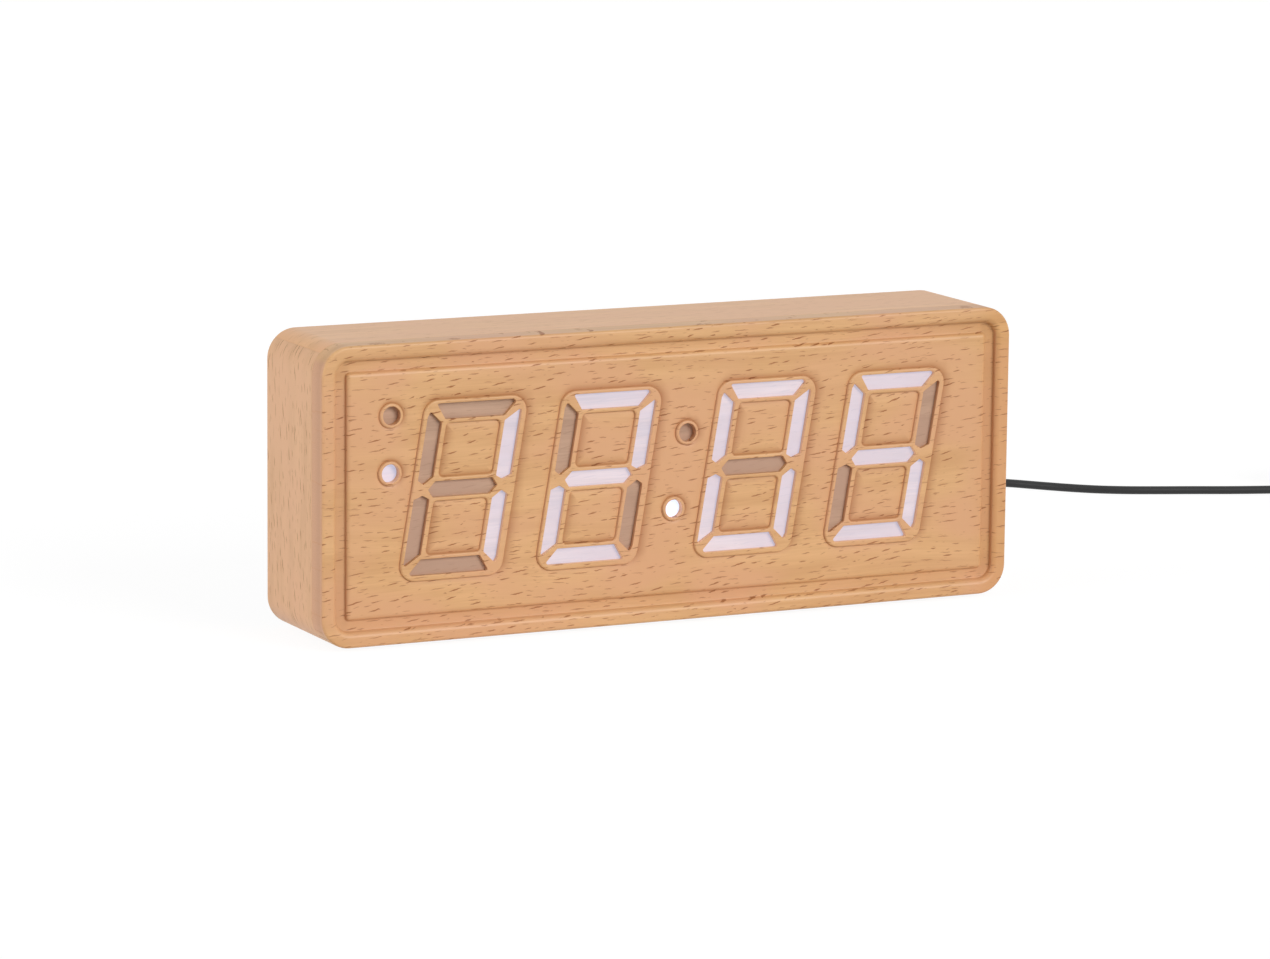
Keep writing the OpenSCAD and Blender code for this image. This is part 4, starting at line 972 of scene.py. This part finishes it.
# Circle with two opposite lugs, which reach out over an angle centred on a turn, and its spokes.
def luggedCircle(place, radius, reach, angle, turn, lugPoints=13, gapPoints=37):
    half = math.radians(angle / 2)
    lug, gap = np.linspace(-half, half, lugPoints), np.linspace(half, math.pi - half, gapPoints)
    turns = math.radians(turn) + np.concatenate([lug, gap, lug + math.pi, gap + math.pi])
    out = np.repeat([reach, 0, reach, 0], [len(lug), len(gap)] * 2)
    spokes = spokesAt(turns)
    return place + (radius + out)[:, None] * spokes, spokes


# A profile of (out, y) runs round the plate's edge. Each opening has a wall of its own, and two level
# sheets close the plate's faces round the openings.
def makeRearCover(look):
    plate = rounded(nodeFace("rear_cover"), look.corner, steps=6, pieces=12)
    edge, inEdge, holeEdge = look.edge, look.inEdge, look.holeEdge
    profile = [(-inEdge, coverIn), (0, coverIn + inEdge)] + roundedEdge(0, coverOut, edge, steps=5)
    parts = [loft(rowsOf(plate, profile))]
    outer, inner = [plate(-edge)], [plate(-inEdge)]
    buzzerPlace = nodeMiddle("buzzer")
    soundPlaces = [buzzerPlace, *circle(buzzerPlace, look.soundRing, look.soundHoles)()]
    slot = rectangle(*look.slotSize, look.slotMiddle, nodeMiddle("alarm_slider")[1])
    holes = [circle(place, look.keyHole + look.run) for place in buttonPlaces]
    holes.append(circle(jackPlace, look.jackHole))
    holes += [circle(place, look.soundHole) for place in soundPlaces]
    for hole in holes + [rounded(slot, look.slotCorner, steps=4)]:
        parts.append(holeWall(hole, coverOut, coverIn, holeEdge))
        outer.append(hole(holeEdge))
        inner.append(hole())
    head, shank = look.headRadius, look.screwHole
    for place in screwPlaces:
        parts.append(turned(place, [(head + look.headEdge, coverOut), (head, coverOut - look.headEdge),
                                    (shank, coverOut - look.cone), (shank, coverIn)], steps=40))
        outer.append(circle(place, head + look.headEdge)())
        inner.append(circle(place, shank)())
    doorRadius = nodeBox("battery_door")[1][0] - doorPlace[0] + look.run
    neck = luggedCircle(doorPlace, doorRadius - look.neckInset, look.notchReach - look.run,
                        look.notchAngle, look.notchTurn)[0]
    stepY = coverOut - look.doorStep
    rim = circle(doorPlace, doorRadius, steps=96)
    parts += [holeWall(rim, coverOut, stepY, holeEdge), sheetInside([rim(), neck], stepY),
              drilled(neck, stepY, coverIn)]
    outer.append(rim(holeEdge))
    inner.append(neck)
    for place in cornerPlaces("board_screws", look.postScrew):
        wide, bore = (circle(place, look[key], steps=32)() for key in ("postRadius", "postBore"))
        parts += [drilled(wide, coverIn, coverStart), sheetInside([wide, bore], coverStart)]
        parts += pit(bore, coverStart, coverOut - look.boreEnd)
        inner.append(wide)
    parts += [sheetInside(outer, coverOut), sheetInside(inner, coverIn)]
    # Raised marks over the keys: a ring, an arrow up and an arrow down
    low, high = coverOut - look.markSunk, coverOut + look.markRise
    ringPlace, upPlace, downPlace = (place + [0, look.markUp] for place in buttonPlaces)
    for place, way in ((upPlace, 1), (downPlace, -1)):
        arrow = rounded(np.array(look.arrow) * way + place, look.arrowCorner, steps=4)
        parts += solid(rowsOf(arrow, [(0, low), (0, high)]))
    wide, narrow = look.ringRadii
    profile = [(wide, low), (wide, high), (narrow, high), (narrow, low)]
    parts.append(loft(rowsOf(circle(ringPlace, 0, steps=32), profile), closedPath=True))
    makePiece("rear_cover", parts, "cover_plastic")


makeRearCover(cover)

# Cover screws: a ridged shank, a cone and a head with a cross recess.
screw = named(
    head=2.8, cone=1.4, shank=1.45, root=1.15, tip=0.4, tipLength=3.0, threadPitch=0.9, edge=0.1,
    recess=(3.0, 0.7), recessFloor=(2.3, 0.5), recessDepth=0.8, crest=0.35, threadEnd=4.0, shankEnd=2.6)


# Plus sign: three corners of one arm, turned four times by a quarter.
def crossLine(place, length, width):
    arm, half = length / 2, width / 2
    corners = np.array([arm - half * 1j, arm + half * 1j, half + half * 1j])
    cross = (1j ** np.arange(4)[:, None] * corners).ravel()
    return np.stack([cross.real, cross.imag], 1) + place


# The shank is turned about its line: its radius goes from the root to the crest and back once in each
# pitch of the thread.
def makeScrews(look):
    start, shank, root, edge = nodeBox("cover_screws")[0][1], look.shank, look.root, look.edge
    threadY = start + look.tipLength
    profile = [(tiny, start), (look.tip, start), (root, threadY)]
    for y in np.arange(threadY, coverOut - look.threadEnd, look.threadPitch).tolist():
        profile += [(root, y), (shank, y + look.crest), (root, y + 2 * look.crest)]
    profile += [(shank, coverOut - look.shankEnd), (shank, coverOut - look.cone),
                (look.head, coverOut - edge), (look.head - edge, coverOut)]
    parts = []
    for place in screwPlaces:
        cross, floor = (crossLine(place, *look[key]) for key in ("recess", "recessFloor"))
        parts += [turned(place, profile, steps=32),
                  sheetInside([circle(place, look.head - edge, steps=32)(), cross], coverOut)]
        parts += solid([setAt(cross, coverOut), setAt(floor, coverOut - look.recessDepth)], [-1])
    makePiece("cover_screws", parts, "screw_steel", sharp=35)


makeScrews(screw)

# Keys: a flange inside the cover, and a face with a round edge and a shallow dish.
key = named(
    radius=4.0, flange=5.2, flangeThick=0.8, flangeGap=0.2, stem=1.75, edge=0.3, rim=3.4, dish=0.18,
    dishSteps=7)


# The key is turned about its line. Its dish is shallower by the square of the way out to the rim.
def makeKeys(look):
    radius, rim, flangeEnd = look.radius, look.rim, coverIn - look.flangeGap
    flangeStart = flangeEnd - look.flangeThick
    for name, place in zip(("set", "up", "down"), buttonPlaces):
        low, high = nodeBox("button_" + name)[:, 1]
        profile = [(tiny, low), (look.stem, low), (look.stem, flangeStart),
                   (look.flange, flangeStart), (look.flange, flangeEnd), (radius, flangeEnd)]
        profile += roundedEdge(radius, high, look.edge) + [(rim, high)]
        profile += [(max(rim * share, tiny), high - look.dish * (1 - share * share))
                    for share in np.linspace(1, 0, look.dishSteps + 1)[1:].tolist()]
        makePiece("button_" + name, [turned(place, profile)], "black_plastic", name + "_key",
                  "key" + name.capitalize(), sharp=50)


makeKeys(key)

# Alarm slider: a post through the slot and a pad with three grooves for the thumb.
slider = named(
    post=(4.0, 3.6), postCorner=0.3, pad=(8.4, 6.0), padThick=0.7, corner=0.8, edge=0.2, backEdge=0.1,
    groove=(0.5, 3.6), grooveCorner=0.24, grooves=3, pitch=1.0, grooveDepth=0.3, socket=(2.16, 1.76),
    socketDepth=1.5)


# The pad's profile runs round its outline, and straight walls make the post, its socket and the grooves.
def makeSlider(look):
    startY, faceY = nodeBox("alarm_slider")[:, 1]
    place, padY, edge = nodeMiddle("alarm_slider"), faceY - look.padThick, look.edge
    post = rounded(rectangle(*look.post, *place), look.postCorner, steps=4)()
    socket = rectangle(*look.socket, *place)
    pad = rounded(rectangle(*look.pad, *place), look.corner, steps=6)
    profile = [(-edge, padY), (0, padY + look.backEdge)] + roundedEdge(0, faceY, edge)
    parts = [loft(rowsOf(pad, profile)), sheetInside([pad(-edge), post], padY), drilled(post, startY, padY),
             sheetInside([post, socket], startY)] + pit(socket, startY, startY + look.socketDepth)
    shifts = (np.arange(look.grooves) - (look.grooves - 1) / 2) * look.pitch
    grooves = [rounded(rectangle(*look.groove, place[0] + shift, place[1]), look.grooveCorner, steps=5)()
               for shift in shifts]
    for line in grooves:
        parts += pit(line, faceY, faceY - look.grooveDepth)
    parts.append(sheetInside([pad(-edge)] + grooves, faceY))
    makePiece("alarm_slider", parts, "black_plastic", "alarm_slide")


makeSlider(slider)

# Battery door: a disc with a coin slot, its neck and two lugs.
door = named(
    disc=12.4, neck=10.85, lugReach=1.3, lugThick=0.8, lugAngle=30, edge=0.25, backEdge=0.1,
    slot=(13.0, 1.8), slotCorner=0.6, slotDepth=0.6, slotEdge=0.12)


# The lugs stand out from the neck's circle, and from there a profile of (radius, y) is turned about
# the door's line, on the same spokes.
def makeDoor(look):
    startY, faceY = nodeBox("battery_door")[:, 1]
    disc, neck, back = look.disc, look.neck, look.backEdge
    discY, lugY = coverOut - cover.doorStep + back, startY + look.lugThick
    lugged, spokes = luggedCircle(doorPlace, neck, look.lugReach, look.lugAngle, 0)
    profile = [(neck, lugY), (neck, discY), (disc - back, discY), (disc, discY + back)]
    profile += roundedEdge(disc, faceY, look.edge)
    rows = [setAt(lugged, startY), setAt(lugged, lugY)]
    rows += rowsOf(lambda radius: doorPlace + radius * spokes, profile)
    slot = rounded(rectangle(*look.slot, *doorPlace), look.slotCorner, steps=6)
    floorY = faceY - look.slotDepth
    face = doorPlace + (disc - look.edge) * spokes
    parts = solid(rows, [0]) + [holeWall(slot, faceY, floorY, look.slotEdge)]
    parts += [sheetInside([slot()], floorY), sheetInside([face, slot(look.slotEdge)], faceY)]
    makePiece("battery_door", parts, "black_plastic", "battery_hatch", sharp=35)


makeDoor(door)
print("back fitted")

# Feet: four low rubber discs, turned about upright lines.
foot = named(radius=4.5, edge=0.25)
for node in ("foot_front_left", "foot_front_right", "foot_back_left", "foot_back_right"):
    low, high = nodeBox(node)
    profile = [(tiny, high[2]), (foot.radius, high[2])]
    profile += roundedEdge(foot.radius, low[2], -foot.edge) + [(tiny, low[2])]
    points, faces = turned(((low + high) / 2)[:2], profile)
    makePiece(node, [(points[:, [0, 2, 1]], faces)], "foot_rubber", sharp=50)

# Barrel, grip and strain relief of the plug in the back, all about the jack's line.
plug = named(
    radius=4.5, endRadius=3.0, edge=0.6, edgeShare=0.8, gripRows=133, gripSteps=64, notches=5,
    notchWidth=1.2, notchDepth=0.45, notchEnd=1.1, notchFade=0.5, notchSides=(0.55, 0.8), relief=2.4,
    reliefEnd=1.5, ribs=5, ribSlot=0.9, ribTaper=0.1, soft=0.2, barrel=1.74, barrelEdge=0.15,
    bore=0.75, boreEdge=0.1, boreFloor=0.2)


# Grip: the radius falls evenly to the back. On both sides it gives way to five notches, each a smooth
# hollow along the grip that fades out round it.
def makePlugGrip(look):
    startY, endY = nodeBox("plug_grip")[:, 1]
    length = endY - startY
    y = np.linspace(0, length, look.gripRows)[:, None]
    angle = (np.arange(look.gripSteps) * 2 * math.pi / look.gripSteps)[None]
    radius = look.radius + (look.endRadius - look.radius) * y / length
    for end in (y, length - y):
        near = np.clip(1 - end / look.edge, 0, 1)
        radius = radius - look.edge * (1 - np.sqrt(1 - near ** 2)) * look.edgeShare
    step = length / (2 * look.notches)
    away = [np.abs(y - i * step) / (look.notchWidth / 2) for i in range(1, look.notches + 1)]
    hollow = sum(smoothStep((look.notchEnd - part) / look.notchFade) for part in away)
    low, high = look.notchSides
    sides = smoothStep((np.abs(np.cos(angle)) - low) / (high - low))
    radius = radius - look.notchDepth * hollow * sides
    points = np.stack([jackPlace[0] + radius * np.cos(angle), startY + y + 0 * angle,
                       jackPlace[1] + radius * np.sin(angle)], -1)
    makePiece("plug_grip", solid(points), "plug_plastic", sharp=50)


# Strain relief: a turned profile of ribs, whose radius falls evenly to the back.
def makeStrainRelief(look):
    startY, endY = nodeBox("strain_relief")[:, 1]
    step = (endY - startY) / look.ribs
    core, soft, taper = look.reliefEnd, look.soft, look.ribTaper
    profile = [(tiny, startY), (core, startY)]
    for low in (startY + np.arange(look.ribs) * step).tolist():
        high = low + step - look.ribSlot
        radius = look.relief - (look.relief - core) * (low - startY) / (endY - startY)
        profile += [(core, low), (radius - soft, low), (radius, low + soft), (radius - taper, high - soft),
                    (radius - taper - soft, high), (core, high), (core, low + step)]
    profile.append((tiny, endY))
    makePiece("strain_relief", [turned(jackPlace, profile)], "plug_plastic", sharp=35)


# Barrel: a turned tube with a blind bore and broken edges.
def makeBarrel(look):
    startY, endY = nodeBox("plug_barrel")[:, 1]
    barrel, edge, bore, small = look.barrel, look.barrelEdge, look.bore, look.boreEdge
    profile = [(tiny, endY), (barrel, endY), (barrel, startY + edge), (barrel - edge, startY),
               (bore + small, startY), (bore, startY + small), (bore, endY - look.boreFloor),
               (tiny, endY - look.boreFloor)]
    makePiece("plug_barrel", [turned(jackPlace, profile, steps=40)], "can_metal", sharp=35)


makePlugGrip(plug)
makeStrainRelief(plug)
makeBarrel(plug)

# Band round the coil: a rounded oblong loop, seen along its width, with soft edges.
tie = named(thick=0.5, width=4.0, gap=0.3, turn=150, corner=1.8, edge=0.15)


# The section of the band, (out, y), is carried round a loop that clears the coil by a gap.
def makeTie(look):
    pitch, diameter = cord.pitch, cord.diameter
    wide = cord.turns / cord.layers * pitch + diameter + 2 * look.gap
    high = (cord.layers - 1) * pitch + diameter + look.gap
    half, edge, thick = look.width / 2, look.edge, look.thick
    section = [(0, -half + edge), (edge, -half), (thick - edge, -half), (thick, -half + edge),
               (thick, half - edge), (thick - edge, half), (edge, half), (0, half - edge)]
    loop = rounded(rectangle(wide, high, cord.coilRadius, thick + high / 2), look.corner, steps=8, pieces=4)
    part = loft(rowsOf(loop, section), closedPath=True)
    way = levelWay(math.radians(look.turn + 90))
    makePiece("cord_tie", [placed(part, coilMiddle * [1, 1, 0], way)], "tie_plastic", sharp=45)


makeTie(tie)

# Far plug: neck, grip, shell and tongue stand one behind the other along the tail's way.
usb = named(
    neck=6.0, neckRadius=2.0, grip=(15.0, 8.0), gripLength=26.0, corner=1.5, edge=1.2, shell=(12.0, 4.5),
    shellLength=12.0, shellThick=0.3, shellCorner=0.5, tip=0.08, tongue=(10.4, 1.9), tongueLength=10.5,
    tongueCorner=0.15, tongueEdge=0.1)


# Profiles of (out, y) are carried round rectangles with round corners, and the neck is turned.
def makeFarPlug(look):
    start, end = look.neck, look.neck + look.gripLength
    grip = rounded(rectangle(*look.grip), look.corner, steps=8)
    profile = roundedEdge(0, start, -look.edge, steps=6)[::-1] + roundedEdge(0, end, look.edge, steps=6)
    neck = [(cord.diameter / 2, 0), (look.neckRadius, start + look.neckRadius)]
    thick, tip, small = look.shellThick, end + look.shellLength, look.tip
    section = [(0, end), (0, tip - small), (-small, tip), (small - thick, tip), (-thick, tip - small),
               (-thick, end)]
    shell = rounded(rectangle(*look.shell), look.shellCorner, steps=5)
    height = (look.shell[1] - look.tongue[1]) / 2 - thick
    tongue = rounded(rectangle(*look.tongue, 0, height), look.tongueCorner, steps=3)
    tongueEnd, edge = end + look.tongueLength, look.tongueEdge
    for name, parts, slot in (
            ("usb_grip", solid(rowsOf(grip, profile)) + solid(rowsOf(circle((0, 0), 0, steps=32), neck)),
             "plug_plastic"),
            ("usb_shell", [loft(rowsOf(shell, section), closedPath=True)], "can_metal"),
            ("usb_tongue", solid(rowsOf(tongue, [(0, end), (0, tongueEnd - edge), (-edge, tongueEnd)])),
             "white_plastic")):
        makePiece(name, [placed(part, tailCurve[-1], tailWay) for part in parts], slot)


makeFarPlug(usb)
print("cord pieces made")


# Light: a pale world, a soft far lamp low on the right front and a weaker one on the left.
light = named(
    worldLevel=0.33, floorHalf=4000, floorWhite=0.92, floorGrey=0.14, floorPlain=0.8,
    lamps=(named(name="key", way=(0.35, -0.9, 0.42), spread=32, power=1.88),
           named(name="fill", way=(-1.5, 0.12, 0.35), spread=40, power=1.5)))


# One for rays that come from the camera or from a reflection, and nought for the others.
def seenRays(tree):
    path = newNode(tree, "LightPath")
    seen = calc("MAXIMUM", wire(path, "Is Camera Ray"), wire(path, "Is Glossy Ray"))
    return calc("MAXIMUM", seen, wire(path, "Is Transmission Ray"))


def makeWorld(look):
    world = bpy.data.worlds.new("studio")
    world.use_nodes = True
    background = world.node_tree.nodes["Background"]
    strength = seenRays(world.node_tree) * (1 - look.worldLevel) + look.worldLevel
    feed(background.inputs["Strength"], strength)
    feed(background.inputs["Color"], (1, 1, 1, 1))
    bpy.context.scene.world = world


def makeLamps(look):
    for lamp in look.lamps:
        data = bpy.data.lights.new(lamp.name, "SUN")
        data.angle = math.radians(lamp.spread)
        data.energy = lamp.power
        back = unitRows(np.array(lamp.way))
        across = unitRows(np.cross([0, 0, 1], back))
        addObject(lamp.name, data, (across, np.cross(back, across), back))


# Floor: white for the camera and for reflections, with the clock's shadow left faintly in it.
def makeFloor(look):
    points = setAt(rectangle(2 * look.floorHalf, 2 * look.floorHalf), 0)[:, [0, 2, 1]]
    mesh = bpy.data.meshes.new("floor")
    mesh.from_pydata((points * mm).tolist(), [], [[0, 1, 2, 3]])
    material, tree, shader = makeMaterial("paleFloor")
    tree.nodes.remove(shader)
    shade, plain = (wire(newNode(tree, "BsdfDiffuse", {"Color": (look[tone],) * 3 + (1,)}))
                    for tone in ("floorGrey", "floorPlain"))
    white = wire(newNode(tree, "Emission", {"Strength": look.floorWhite}))
    both = wire(newNode(tree, "AddShader", {0: shade, 1: white}))
    choose = wire(newNode(tree, "MixShader", {0: seenRays(tree), 1: plain, 2: both}))
    feed(tree.nodes["Material Output"].inputs["Surface"], choose)
    mesh.materials.append(material)
    addObject("floor", mesh)


makeWorld(light)
makeLamps(light)
makeFloor(light)
print("light and floor set")

# The pieces inside keep the frame's meshes, each in its own material.
insides = {
    "white_plastic": "light_box cell_holder",
    "led_resin": "segment_leds",
    "circuit_board": "display_board main_board",
    "block_wood": "block_top_left block_top_right block_bottom_left block_bottom_right",
    "screw_steel": "light_box_screws board_screws",
    "header_plastic": "pin_header pin_socket",
    "chip_resin": "controller_chip driver_chips",
    "can_metal": "crystal alarm_switch coin_cell",
    "black_plastic": "buzzer dc_jack stem_set stem_up stem_down alarm_lever",
    "contact_metal": "jack_pin cell_contacts",
    "switch_plastic": "switch_set switch_up switch_down",
}
for slot, nodes in insides.items():
    for node in nodes.split():
        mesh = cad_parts[node].data
        mesh.materials.clear()
        mesh.materials.append(materials[slot])
print("pieces inside painted")

bpy.context.scene.view_settings.view_transform = "Standard"
